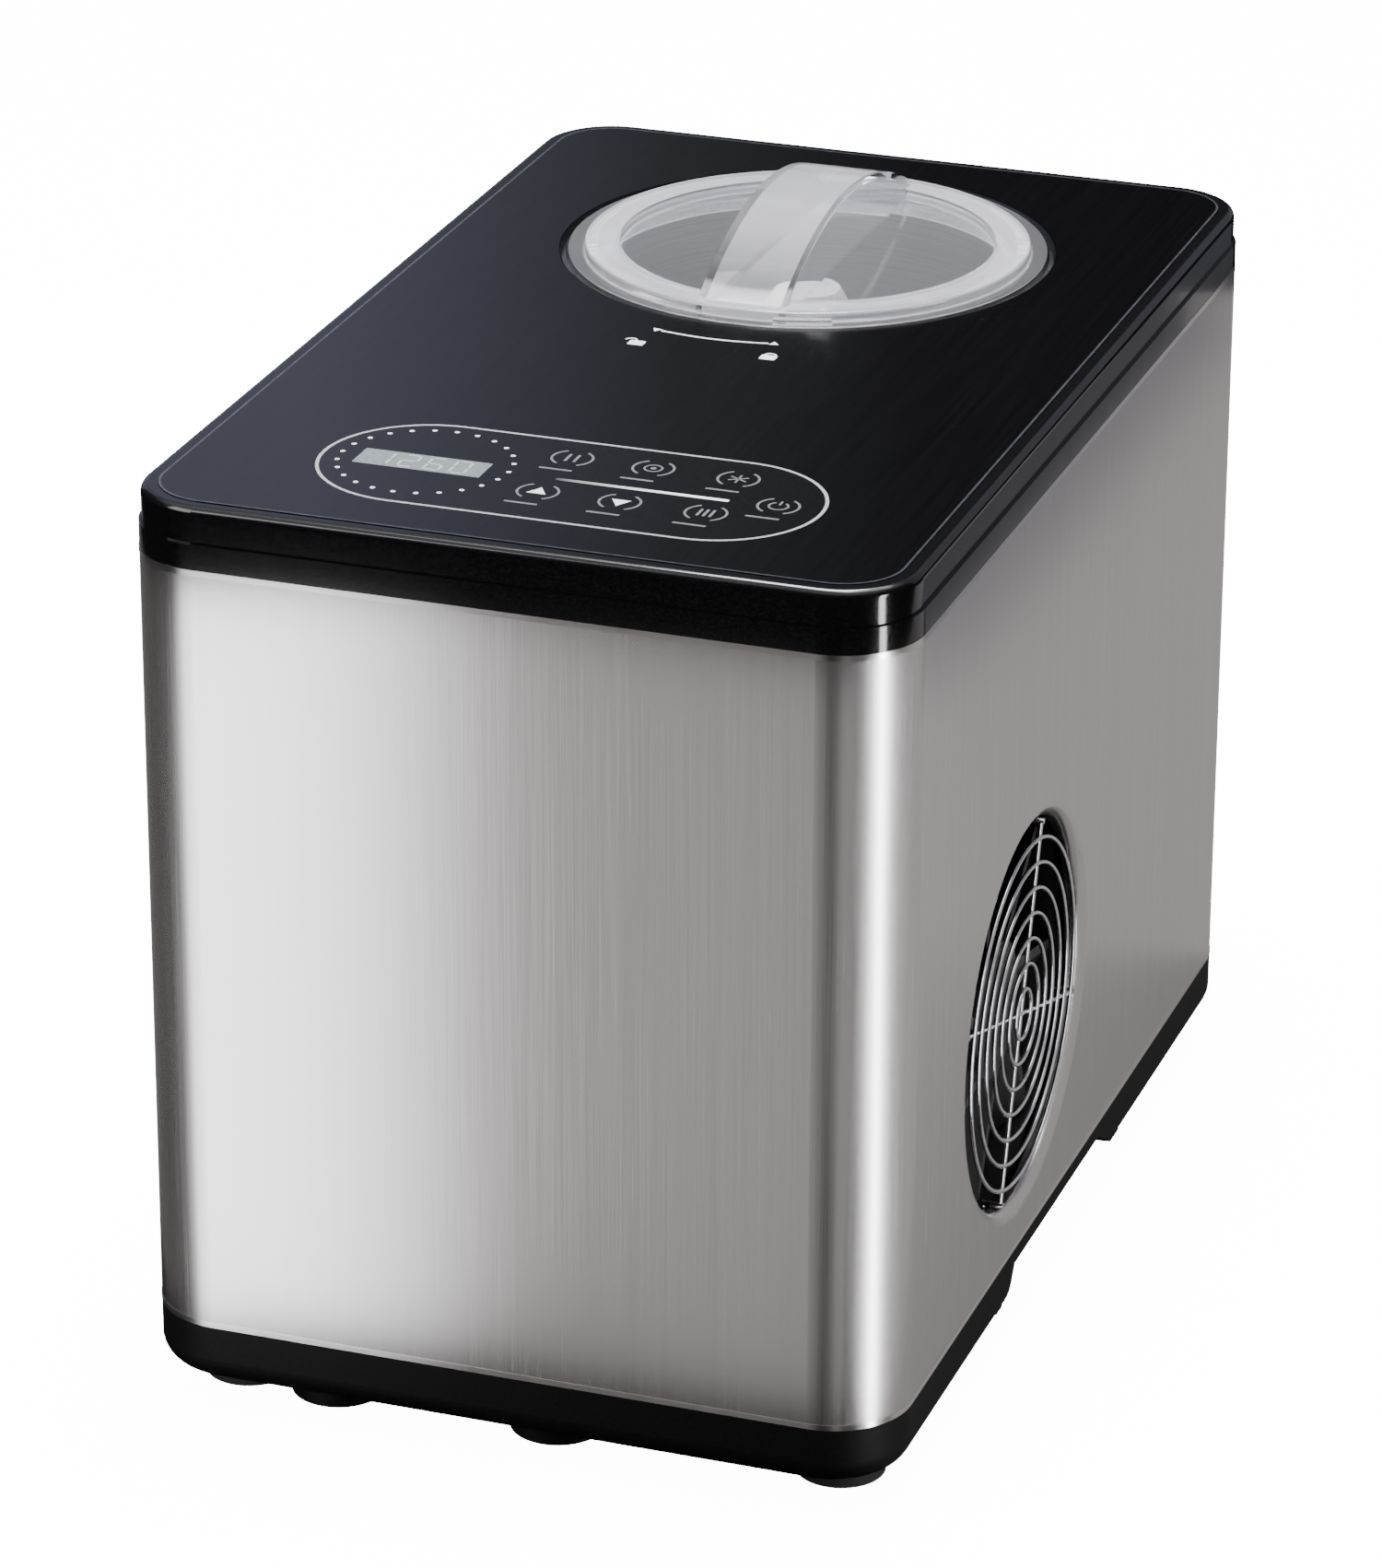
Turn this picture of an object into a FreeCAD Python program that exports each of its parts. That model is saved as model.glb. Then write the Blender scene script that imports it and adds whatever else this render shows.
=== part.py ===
import FreeCAD, Part

import math
import os

import Sketcher

# Countertop ice cream maker with its own compressor, in millimetres.
# Frame: origin on the floor under the middle of the body, +X to the right and -Y to the front
# as the user sees it, +Z up.  Every size below goes into the document's spreadsheet, and the
# pieces are bound to its cells.

SIZES = {
    # body
    "body_width": 225.0,
    "body_depth": 361.0,
    "corner_radius": 23.2,
    "foot_height": 8.5,
    "foot_radius": 14.0,
    "foot_inset_x": 22.5,
    "foot_inset_y": 29.5,
    "base_height": 18.5,
    "base_wall": 3.0,
    "base_floor": 3.5,
    "base_edge": 8.0,
    "grip_depth": 25.0,
    "grip_rise": 13.5,
    "grip_front_low": -66.0,
    "grip_front_high": -56.0,
    "grip_rear_high": 32.0,
    "grip_rear_low": 58.0,
    "steel": 0.8,
    "wrap_height": 232.0,
    "cap_height": 17.8,
    "cap_band": 7.4,
    "cap_step": 0.8,
    "cap_round": 2.5,
    "cap_wall": 3.0,
    "cap_roof": 3.0,
    "lip_height": 6.0,
    "lip_wall": 1.5,
    "gap": 0.3,
    # top plate and display
    "panel_inset": 5.75,
    "panel_thick": 2.0,
    "panel_corner": 17.5,
    "keys_from_front": 53.9,
    "window_width": 37.6,
    "window_depth": 11.6,
    "window_x": -42.5,
    "board_width": 140.0,
    "board_depth": 54.0,
    "board_drop": 10.0,
    "key_spring_radius": 4.0,
    # rear panel
    "rear_recess": 3.0,
    "rear_margin_x": 20.5,
    "rear_margin_z": 8.0,
    "rear_flange": 8.0,
    "rear_plate": 1.0,
    "rear_slot_length": 62.0,
    "rear_slot_height": 3.0,
    "rear_slot_pitch": 9.0,
    "gland_radius": 6.3,
    "gland_x": -70.0,
    "gland_height": 58.0,
    # bowl, lid and well
    "bowl_rear_room": 35.5,
    "seat_play": 1.3,
    "recess_play": 2.8,
    "seat_tube": 13.0,
    "ring_reach": 5.0,
    "ring_width": 10.6,
    "flange_reach": 4.9,
    "lid_ring_rise": 2.9,
    "lid_wall": 2.0,
    "lid_flange": 1.5,
    "handle_width": 27.0,
    "handle_curve": 120.0,
    "handle_rise": 20.0,
    "lug_height": 1.2,
    "gasket_height": 3.0,
    "bowl_radius": 62.0,
    "bowl_wall": 1.2,
    "bowl_depth": 121.5,
    "rim_width": 4.3,
    "bowl_tube_radius": 9.5,
    "bowl_tube_height": 44.0,
    "well_wall": 1.5,
    "well_gap": 0.8,
    "well_base_gap": 3.5,
    "well_tube_radius": 8.0,
    "well_tube_height": 38.0,
    "coil_tube": 4.0,
    "coil_pitch": 14.5,
    "coil_turns": 5.5,
    "foam_wall": 9.5,
    "foam_base": 21.0,
    # paddle and drive
    "paddle_hub": 14.0,
    "paddle_bore": 11.5,
    "paddle_height": 108.0,
    "paddle_blade": 5.0,
    "paddle_clear": 2.0,
    "shaft_radius": 4.0,
    "shaft_square": 5.6,
    "square_height": 24.0,
    "fit_gap": 0.05,
    "gear_module": 1.0,
    "gear_width": 7.0,
    "gear_backlash": 0.14,
    "case_wall": 3.0,
    "case_height": 26.0,
    "case_clear": 6.0,
    "bush_wall": 2.0,
    "bush_length": 14.0,
    "seal_height": 2.5,
    "bridge_sheet": 3.0,
    "bridge_width": 120.0,
    "motor_radius": 28.0,
    "motor_height": 56.0,
    # compressor
    "compressor_x": -26.5,
    "compressor_from_front": 75.5,
    "compressor_radius": 50.0,
    "compressor_height": 122.0,
    "mount_pitch_x": 67.0,
    "mount_pitch_y": 102.0,
    "mount_radius": 14.0,
    "mount_well": 7.0,
    "grommet_height": 12.0,
    # fan and condenser
    "fan_from_front": 130.8,
    "fan_height": 99.4,
    "fan_opening": 58.0,
    "fan_lip_bend": 4.0,
    "fan_lip_depth": 5.5,
    "fan_rim": 2.0,
    "fan_pin_radius": 2.0,
    "shroud_depth": 12.0,
    "fan_thick": 25.0,
    "fan_hole_inset": 7.5,
    "guard_wire": 0.65,
    "guard_sink": 1.2,
    "condenser_tube": 4.0,
    "condenser_step": 20.0,
    "condenser_thick": 22.0,
    "fin_pitch": 5.0,
    "fin_thick": 0.6,
    "pipe_radius": 3.2,
}

GUARD_RINGS = 7
GUARD_STEPS = 7.84  # ring pitches from the fan's middle to its opening's edge
GUARD_TURN = -17.0  # degrees by which the guard's cross leans from upright, its top to the rear
WELD_DEPTH = 1.25  # wire radii from a guard bar's middle to its rings'
FAN_BLADES = 7
CONDENSER_RUNS = 6
FIN_COUNT = 22
REAR_SLOTS = 17
BASE_SLOTS = 9
PINION_TEETH = 12
IDLER_WHEEL_TEETH = 72
IDLER_PINION_TEETH = 14
OUTPUT_TEETH = 70
LUG_ANGLE = -73.0


class Size:
    """A length known both as a number and as the spreadsheet formula that gives it."""

    def __init__(self, value, formula):
        self.value = float(value)
        self.formula = formula

    def _join(self, other, sign, value):
        return Size(value, "(%s %s %s)" % (self.formula, sign, size(other).formula))

    def __add__(self, other):
        return self._join(other, "+", self.value + size(other).value)

    def __sub__(self, other):
        return self._join(other, "-", self.value - size(other).value)

    def __mul__(self, other):
        return self._join(other, "*", self.value * size(other).value)

    def __truediv__(self, other):
        return self._join(other, "/", self.value / size(other).value)

    def __radd__(self, other):
        return size(other) + self

    def __rsub__(self, other):
        return size(other) - self

    def __rmul__(self, other):
        return size(other) * self

    def __neg__(self):
        return size(0) - self


def size(value):
    """A plain number as a Size; a Size stays as it is."""
    if isinstance(value, Size):
        return value
    return Size(value, "(%.6f)" % value)


class Sheet:
    """Each driving size of the spreadsheet, as an attribute."""


doc = FreeCAD.newDocument("ice_cream_maker")
cells = doc.addObject("Spreadsheet::Sheet", "sizes")
d = Sheet()
for row, (alias, number) in enumerate(SIZES.items(), start=1):
    cells.set("A%d" % row, alias)
    cells.set("B%d" % row, str(number))
    cells.setAlias("B%d" % row, alias)
    setattr(d, alias, Size(number, "sizes." + alias))
doc.recompute()

nodes = []


def bind(thing, path, value):
    """Tie one property of an object to the spreadsheet."""
    thing.setExpression(path, size(value).formula)


def put(thing, x=0, y=0, z=0, rotation=None):
    """Place an object, with its position tied to the spreadsheet."""
    turn = rotation if rotation else FreeCAD.Rotation()
    thing.Placement = FreeCAD.Placement(FreeCAD.Vector(), turn)
    for axis, value in zip("xyz", (x, y, z)):
        bind(thing, "Placement.Base." + axis, value)
    return thing


def node(name, thing):
    """Name an object as a finished sub-part."""
    thing.Label = name
    nodes.append(thing)
    return thing


# ---- Part primitives ------------------------------------------------------------------------

ALONG_X = FreeCAD.Rotation(FreeCAD.Vector(0, 1, 0), 90)
ALONG_Y = FreeCAD.Rotation(FreeCAD.Vector(1, 0, 0), -90)


def box(name, low, high):
    """A box between two corners."""
    made = doc.addObject("Part::Box", name)
    for prop, start, end in zip(("Length", "Width", "Height"), low, high):
        bind(made, prop, size(end) - start)
    return put(made, *low)


def cylinder(name, radius, height, x=0, y=0, z=0, rotation=None):
    made = doc.addObject("Part::Cylinder", name)
    bind(made, "Radius", radius)
    bind(made, "Height", height)
    return put(made, x, y, z, rotation)


def cone(name, low_radius, high_radius, height, x=0, y=0, z=0, rotation=None):
    made = doc.addObject("Part::Cone", name)
    bind(made, "Radius1", low_radius)
    bind(made, "Radius2", high_radius)
    bind(made, "Height", height)
    return put(made, x, y, z, rotation)


def torus(name, radius, tube, x=0, y=0, z=0, rotation=None):
    made = doc.addObject("Part::Torus", name)
    bind(made, "Radius1", radius)
    bind(made, "Radius2", tube)
    return put(made, x, y, z, rotation)


def hexagon(name, radius, height, x=0, y=0, z=0):
    made = doc.addObject("Part::Prism", name)
    made.Polygon = 6
    bind(made, "Circumradius", radius)
    bind(made, "Height", height)
    return put(made, x, y, z)


def fuse(name, things):
    made = doc.addObject("Part::MultiFuse", name)
    made.Shapes = things
    return made


def cut(name, base, tool):
    made = doc.addObject("Part::Cut", name)
    made.Base = base
    made.Tool = tool
    return made


def common(name, things):
    made = doc.addObject("Part::MultiCommon", name)
    made.Shapes = things
    return made


def group(name, things):
    """Separate solids kept together as one sub-part."""
    made = doc.addObject("Part::Compound", name)
    made.Links = things
    return made


def tube(name, outer, inner, height, x=0, y=0, z=0, rotation=None):
    """A plain ring: a cylinder with a round bore."""
    solid = cylinder(name + "_outside", outer, height, x, y, z, rotation)
    bore = cylinder(name + "_bore", inner, height, x, y, z, rotation)
    return cut(name, solid, bore)


def screw(name, head_radius, head_height, shank_radius, shank_length, x, y, z, rotation=None, turn=1):
    """A pan head screw: the head's seat is at the point, the shank goes along the turned +Z."""
    shank = cylinder(name + "_shank", shank_radius, shank_length, x, y, z, rotation)
    away = rotation.multVec(FreeCAD.Vector(0, 0, 1)) if rotation else FreeCAD.Vector(0, 0, 1)
    back = [size(place) - size(head_height) * part for place, part in zip((x, y, z), away)]
    head = cylinder(name + "_head", head_radius, head_height, *back, rotation)
    return fuse(name, [shank, head])


# ---- PartDesign bodies ----------------------------------------------------------------------


def new_body(name, x=0, y=0, z=0, rotation=None):
    return put(doc.addObject("PartDesign::Body", name), x, y, z, rotation)


def sketch(body, plane, offset=0, turn=0.0):
    """An empty sketch on one of the body's own planes; turn swings it about its own upright."""
    made = body.newObject("Sketcher::SketchObject", body.Name + "_sketch")
    support = [item for item in body.Origin.OriginFeatures if item.Role == plane][0]
    made.AttachmentSupport = (support, "")
    made.MapMode = "FlatFace"
    swing = FreeCAD.Rotation(FreeCAD.Vector(0, 1, 0), turn)
    made.AttachmentOffset = FreeCAD.Placement(FreeCAD.Vector(), swing)
    bind(made, "AttachmentOffset.Base.z", offset)
    return made


def constrain(drawing, kind, *where, value=None):
    """Add a dimension whose value is tied to the spreadsheet."""
    index = drawing.addConstraint(Sketcher.Constraint(kind, *where, size(value).value))
    bind(drawing, "Constraints[%d]" % index, value)


def pin(drawing, curve, point, x, y):
    """Fix one point of a sketch curve from the sketch's origin."""
    constrain(drawing, "DistanceX", -1, 1, curve, point, value=x)
    constrain(drawing, "DistanceY", -1, 1, curve, point, value=y)


def polygon(drawing, points):
    """A closed outline of straight lines."""
    places = [FreeCAD.Vector(size(x).value, size(y).value, 0) for x, y in points]
    first = drawing.GeometryCount
    count = len(places)
    lines = [Part.LineSegment(places[i], places[(i + 1) % count]) for i in range(count)]
    drawing.addGeometry(lines, False)
    joints = [
        Sketcher.Constraint("Coincident", first + i, 2, first + (i + 1) % count, 1)
        for i in range(count)
    ]
    drawing.addConstraint(joints)
    for i, (x, y) in enumerate(points):
        pin(drawing, first + i, 1, x, y)
    return drawing


def circle(drawing, radius, x=0, y=0):
    centre = FreeCAD.Vector(size(x).value, size(y).value, 0)
    curve = Part.Circle(centre, FreeCAD.Vector(0, 0, 1), size(radius).value)
    index = drawing.addGeometry(curve, False)
    constrain(drawing, "Radius", index, value=radius)
    pin(drawing, index, 3, x, y)
    return drawing


def rounded(drawing, low_x, high_x, low_y, high_y, radius):
    """A rectangle with four equal round corners."""
    x0, x1, y0, y1, r = (size(v).value for v in (low_x, high_x, low_y, high_y, radius))
    up = FreeCAD.Vector(0, 0, 1)
    corners = [(x1 - r, y0 + r, -90), (x1 - r, y1 - r, 0), (x0 + r, y1 - r, 90), (x0 + r, y0 + r, 180)]
    sides = [
        ((x0 + r, y0), (x1 - r, y0)),
        ((x1, y0 + r), (x1, y1 - r)),
        ((x1 - r, y1), (x0 + r, y1)),
        ((x0, y1 - r), (x0, y0 + r)),
    ]
    first = drawing.GeometryCount
    for (start, end), (cx, cy, angle) in zip(sides, corners):
        line = Part.LineSegment(FreeCAD.Vector(*start, 0), FreeCAD.Vector(*end, 0))
        whole = Part.Circle(FreeCAD.Vector(cx, cy, 0), up, r)
        arc = Part.ArcOfCircle(whole, math.radians(angle), math.radians(angle + 90))
        drawing.addGeometry([line, arc], False)
    rules = []
    for i in range(8):
        rules.append(Sketcher.Constraint("Tangent", first + i, 2, first + (i + 1) % 8, 1))
    for i, kind in ((0, "Horizontal"), (2, "Vertical"), (4, "Horizontal"), (6, "Vertical")):
        rules.append(Sketcher.Constraint(kind, first + i))
    for i in (3, 5, 7):
        rules.append(Sketcher.Constraint("Equal", first + 1, first + i))
    drawing.addConstraint(rules)
    constrain(drawing, "Radius", first + 1, value=radius)
    constrain(drawing, "DistanceY", -1, 1, first, 1, value=low_y)
    constrain(drawing, "DistanceX", -1, 1, first + 2, 1, value=high_x)
    constrain(drawing, "DistanceY", -1, 1, first + 4, 1, value=high_y)
    constrain(drawing, "DistanceX", -1, 1, first + 6, 1, value=low_x)
    return drawing


def outline(drawing, inset, radius):
    """The body's plan, drawn in by the same distance all round."""
    half_x = d.body_width / 2 - inset
    half_y = d.body_depth / 2 - inset
    return rounded(drawing, -half_x, half_x, -half_y, half_y, radius)


def pad(body, drawing, length, back=False):
    made = body.newObject("PartDesign::Pad", body.Name + "_pad")
    made.Profile = drawing
    made.Reversed = back
    bind(made, "Length", length)
    return made


def pad_both_ways(body, drawing, length):
    """A pad of the given whole length, half of it on each side of the sketch."""
    made = pad(body, drawing, length)
    made.Midplane = True
    return made


def pocket(body, drawing, length, back=False):
    """Cut below the sketch, or above it when back is set."""
    made = body.newObject("PartDesign::Pocket", body.Name + "_pocket")
    made.Profile = drawing
    made.Reversed = back
    bind(made, "Length", length)
    return made


def pocket_both_ways(body, drawing, length):
    made = pocket(body, drawing, length)
    made.Midplane = True
    return made


def revolve(body, drawing, angle=360.0, axis="V_Axis"):
    made = body.newObject("PartDesign::Revolution", body.Name + "_revolution")
    made.Profile = drawing
    made.ReferenceAxis = (drawing, [axis])
    made.Angle = angle
    made.Midplane = angle < 360
    return made


def repeat_up(body, feature, reach, count):
    """Copies of a feature at even steps up the body's own Z axis."""
    upright = [item for item in body.Origin.OriginFeatures if item.Role == "Z_Axis"][0]
    made = body.newObject("PartDesign::LinearPattern", body.Name + "_pattern")
    made.Originals = [feature]
    made.Direction = (upright, [""])
    made.Occurrences = count
    bind(made, "Length", reach)
    body.Tip = made
    return made


def fillet(body, radius, wanted):
    """Round every edge of the body for which wanted(edge) is true."""
    doc.recompute()
    base = body.Tip
    names = ["Edge%d" % (i + 1) for i, edge in enumerate(base.Shape.Edges) if wanted(edge)]
    made = body.newObject("PartDesign::Fillet", body.Name + "_fillet")
    made.Base = (base, names)
    bind(made, "Radius", radius)
    return made


def at_height(level):
    """True for an edge that lies flat at a height of the body's own frame."""
    def wanted(edge):
        reach = edge.BoundBox
        return max(abs(reach.ZMin - level.value), abs(reach.ZMax - level.value)) < 0.01
    return wanted


def turned(name, profile, x=0, y=0, z=0, rotation=None):
    """A body of revolution about its own upright axis, from (radius, height) points."""
    body = new_body(name, x, y, z, rotation)
    revolve(body, polygon(sketch(body, "XZ_Plane"), profile))
    return body


# ---- tubes along a bent route ---------------------------------------------------------------


def bent_wire(points, bend):
    """Straight runs joined by arcs of one radius."""
    edges = []
    start = points[0]
    for before, corner, after in zip(points, points[1:], points[2:]):
        inward = (before - corner).normalize()
        outward = (after - corner).normalize()
        half_turn = (math.pi - inward.getAngle(outward)) / 2
        reach = bend * math.tan(half_turn)
        enter = corner + inward * reach
        leave = corner + outward * reach
        middle = corner + (inward + outward).normalize() * (bend / math.cos(half_turn) - bend)
        edges.append(Part.LineSegment(start, enter).toShape())
        edges.append(Part.Arc(enter, middle, leave).toShape())
        start = leave
    edges.append(Part.LineSegment(start, points[-1]).toShape())
    return Part.Wire(edges)


def sweep_round(path, radius):
    """A solid of round section along a wire."""
    first = path.Edges[0]
    start = first.valueAt(first.FirstParameter)
    direction = first.tangentAt(first.FirstParameter)
    section = Part.Wire([Part.makeCircle(radius, start, direction)])
    return path.makePipeShell([section], True, True)


def pipe(name, radius, bend, *points):
    """A bent pipe, whose route reads the spreadsheet's sizes."""
    route = [FreeCAD.Vector(*(size(value).value for value in point)) for point in points]
    made = doc.addObject("Part::Feature", name)
    made.Shape = sweep_round(bent_wire(route, bend), size(radius).value)
    return node(name, made)


# ---- shared levels and places ---------------------------------------------------------------

half_width = d.body_width / 2
half_depth = d.body_depth / 2
front_y = -half_depth
floor_z = d.foot_height + d.base_floor
wrap_z = d.foot_height + d.base_height
cap_z = wrap_z + d.wrap_height
top_z = cap_z + d.cap_height + 0.2
roof_top = top_z - d.panel_thick
roof_low = roof_top - d.cap_roof
bowl_y = half_depth - d.bowl_radius - d.bowl_rear_room
keys_y = front_y + d.keys_from_front
fan_y = front_y + d.fan_from_front
compressor_y = front_y + d.compressor_from_front

bowl_rim = d.bowl_radius + d.rim_width
seat_hole = bowl_rim + d.seat_play
lid_ring_outer = d.bowl_radius + d.ring_reach
lid_ring_inner = lid_ring_outer - d.ring_width
lid_radius = lid_ring_outer + d.flange_reach
seat_radius = lid_radius + d.recess_play
fan_size = (d.fan_opening + d.fan_rim) * 2
fan_hole_pitch = fan_size - d.fan_hole_inset * 2
guard_pitch = d.fan_opening / GUARD_STEPS

lid_top = top_z + d.lid_ring_rise
lid_seat_z = roof_top + 0.8
skirt_low = lid_seat_z - 4.8
bowl_top = skirt_low - d.gasket_height
bowl_low = bowl_top - d.bowl_depth
well_rim = bowl_top - 1.5
well_low = bowl_low - d.well_base_gap
foam_low = well_low - d.foam_base
bridge_top = foam_low
case_top = bridge_top - d.bridge_sheet
case_low = case_top - d.case_height
motor_low = case_low - d.motor_height

gear_distance = d.gear_module * (OUTPUT_TEETH + IDLER_PINION_TEETH) / 2
motor_angle = 60.0
idler_x = -gear_distance
motor_x = idler_x + gear_distance * math.cos(math.radians(motor_angle))
motor_y = bowl_y + gear_distance * math.sin(math.radians(motor_angle))

# ---- base -----------------------------------------------------------------------------------


def make_base():
    """Moulded tray: a low box with a round lower edge, grips, mount wells and air slots."""
    body = new_body("base_tray_body")
    pad(body, outline(sketch(body, "XY_Plane", d.foot_height), 0, d.corner_radius), d.base_height)
    fillet(body, d.base_edge, at_height(d.foot_height))
    inner = outline(sketch(body, "XY_Plane", wrap_z), d.base_wall, d.corner_radius - d.base_wall)
    pocket(body, inner, d.base_height - d.base_floor)
    locating_lip(body, wrap_z, False)
    roof = d.grip_rise + d.base_wall
    for side in (-1, 1):
        block_inner = side * (half_width - d.grip_depth - d.base_wall)
        block_outer = side * (half_width - d.base_wall / 2)
        blocks = sketch(body, "XY_Plane", floor_z - 1)
        low_x, high_x = (block_outer, block_inner) if side < 0 else (block_inner, block_outer)
        low_y = d.grip_front_low - d.base_wall
        high_y = d.grip_rear_low + d.base_wall
        polygon(blocks, [(low_x, low_y), (high_x, low_y), (high_x, high_y), (low_x, high_y)])
        pad(body, blocks, roof + d.foot_height - floor_z + 1)
    for side in (-1, 1):
        notch = sketch(body, "YZ_Plane", side * (half_width - d.grip_depth))
        low = d.foot_height - 1
        high = d.foot_height + d.grip_rise
        polygon(notch, [(d.grip_front_low, low), (d.grip_rear_low, low), (d.grip_rear_high, high),
                        (d.grip_front_high, high)])
        pocket(body, notch, d.grip_depth + 1, back=side > 0)
    wells = sketch(body, "XY_Plane", d.foot_height - d.mount_well)
    for x, y in mount_places():
        circle(wells, d.mount_radius, x, y)
    pad(body, wells, d.mount_well + 1)
    slots = sketch(body, "XY_Plane", floor_z)
    for i in range(BASE_SLOTS):
        x = (i - (BASE_SLOTS - 1) / 2) * 8.0
        low_x = d.compressor_x + x - 2
        low_y = compressor_y - 38
        polygon(slots, [(low_x, low_y), (low_x + 4, low_y), (low_x + 4, low_y + 76), (low_x, low_y + 76)])
    pocket(body, slots, d.base_floor)
    return node("base_tray", body)


def locating_lip(body, level, downward):
    """The thin upstand that keeps the steel wrap in line with the moulding."""
    inset = d.steel + d.gap
    ring = sketch(body, "XY_Plane", level)
    outline(ring, inset, d.corner_radius - inset)
    outline(ring, inset + d.lip_wall, d.corner_radius - inset - d.lip_wall)
    pad(body, ring, d.lip_height, back=downward)


def mount_places():
    """The four rubber mounts of the compressor, as x and y."""
    places = []
    for side_x in (-0.5, 0.5):
        for side_y in (-0.5, 0.5):
            x = d.compressor_x + d.mount_pitch_x * side_x
            places.append((x, compressor_y + d.mount_pitch_y * side_y))
    return places


def make_feet():
    feet = []
    for side_x in (-1, 1):
        for side_y in (-1, 1):
            x = side_x * (half_width - d.foot_inset_x)
            y = side_y * (half_depth - d.foot_inset_y)
            name = "foot_%d" % (len(feet) + 1)
            solid = cone(name + "_pad", d.foot_radius - 1, d.foot_radius, d.foot_height, x, y, 0)
            hollow = cylinder(name + "_hollow", 5, 4, x, y, 0)
            feet.append(cut(name, solid, hollow))
    return node("rubber_feet", group("feet", feet))


# ---- steel shell ----------------------------------------------------------------------------


def make_shell():
    """The wrap: one sheet round the body, a drawn fan opening, and a recessed frame behind."""
    body = new_body("steel_shell_body")
    ring = sketch(body, "XY_Plane", wrap_z)
    outline(ring, 0, d.corner_radius)
    outline(ring, d.steel, d.corner_radius - d.steel)
    pad(body, ring, d.wrap_height)
    opening = sketch(body, "YZ_Plane", half_width - d.steel - 1)
    circle(opening, d.fan_opening + d.fan_lip_bend, fan_y, d.fan_height)
    pocket(body, opening, d.steel + 2, back=True)
    window = sketch(body, "XZ_Plane", -half_depth - 1)
    rear_rectangle(window, 0)
    pocket(body, window, d.steel + 2, back=True)
    frame = sketch(body, "XZ_Plane", -half_depth)
    rear_rectangle(frame, -d.steel)
    rear_rectangle(frame, 0)
    pad(body, frame, d.rear_recess + d.rear_plate + d.steel)
    flange = sketch(body, "XZ_Plane", -half_depth + d.rear_recess + d.rear_plate)
    rear_rectangle(flange, -d.steel)
    rear_rectangle(flange, d.rear_flange)
    pad(body, flange, d.steel)
    holes = sketch(body, "XZ_Plane", -half_depth + d.rear_recess + d.rear_plate)
    for x, z in rear_screw_places():
        circle(holes, 1.3, x, z)
    pocket(body, holes, d.steel + 1, back=True)
    lip = fan_lip(body)
    made = body.newObject("PartDesign::Revolution", "fan_lip_revolution")
    made.Profile = lip
    made.ReferenceAxis = (lip, ["Axis0"])
    made.Angle = 360
    return node("steel_shell", body)


def rear_rectangle(drawing, inset):
    """The rear opening's outline, drawn in by the inset."""
    half = half_width - d.rear_margin_x - inset
    low = wrap_z + d.rear_margin_z + inset
    high = cap_z - d.rear_margin_z - inset
    polygon(drawing, [(-half, low), (half, low), (half, high), (-half, high)])


def rear_screw_places():
    """Six screws in the rear panel's edge, as x and z."""
    x = half_width - d.rear_margin_x - d.rear_flange / 2
    low = wrap_z + d.rear_margin_z + d.rear_flange / 2
    high = cap_z - d.rear_margin_z - d.rear_flange / 2
    middle = (low + high) / 2
    return [(side * x, z) for side in (-1, 1) for z in (low, middle, high)]


def fan_lip(body):
    """Half section of the drawn edge: the sheet bends inwards round the fan opening."""
    drawing = sketch(body, "XY_Plane", d.fan_height)
    bend = d.fan_lip_bend
    centre_x = half_width - bend
    centre_y = fan_y + d.fan_opening + bend
    end_x = half_width - d.fan_lip_depth
    inner_y = fan_y + d.fan_opening
    up = FreeCAD.Vector(0, 0, 1)
    centre = FreeCAD.Vector(centre_x.value, centre_y.value, 0)

    def point(x, y):
        return FreeCAD.Vector(size(x).value, size(y).value, 0)

    def quarter(radius):
        whole = Part.Circle(centre, up, size(radius).value)
        return Part.ArcOfCircle(whole, -math.pi / 2, 0)

    sheet_y = inner_y + d.steel
    drawing.addGeometry([
        quarter(bend),
        Part.LineSegment(point(half_width, centre_y), point(half_width - d.steel, centre_y)),
        quarter(bend - d.steel),
        Part.LineSegment(point(centre_x, sheet_y), point(end_x, sheet_y)),
        Part.LineSegment(point(end_x, sheet_y), point(end_x, inner_y)),
        Part.LineSegment(point(end_x, inner_y), point(centre_x, inner_y)),
    ], False)
    axis = Part.LineSegment(point(half_width - 20, fan_y), point(half_width + 20, fan_y))
    axis_index = drawing.addGeometry(axis, True)
    drawing.addConstraint([
        Sketcher.Constraint("Coincident", 0, 2, 1, 1),
        Sketcher.Constraint("Coincident", 1, 2, 2, 2),
        Sketcher.Constraint("Coincident", 2, 1, 3, 1),
        Sketcher.Constraint("Coincident", 3, 2, 4, 1),
        Sketcher.Constraint("Coincident", 4, 2, 5, 1),
        Sketcher.Constraint("Coincident", 5, 2, 0, 1),
        Sketcher.Constraint("Horizontal", 3),
        Sketcher.Constraint("Vertical", 4),
        Sketcher.Constraint("Horizontal", 5),
    ])
    for arc, radius in ((0, bend), (2, bend - d.steel)):
        pin(drawing, arc, 3, centre_x, centre_y)
        constrain(drawing, "Radius", arc, value=radius)
        constrain(drawing, "DistanceX", -1, 1, arc, 1, value=centre_x)
        constrain(drawing, "DistanceY", -1, 1, arc, 2, value=centre_y)
    constrain(drawing, "DistanceX", -1, 1, 3, 2, value=end_x)
    pin(drawing, axis_index, 1, half_width - 20, fan_y)
    pin(drawing, axis_index, 2, half_width + 20, fan_y)
    return drawing


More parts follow.
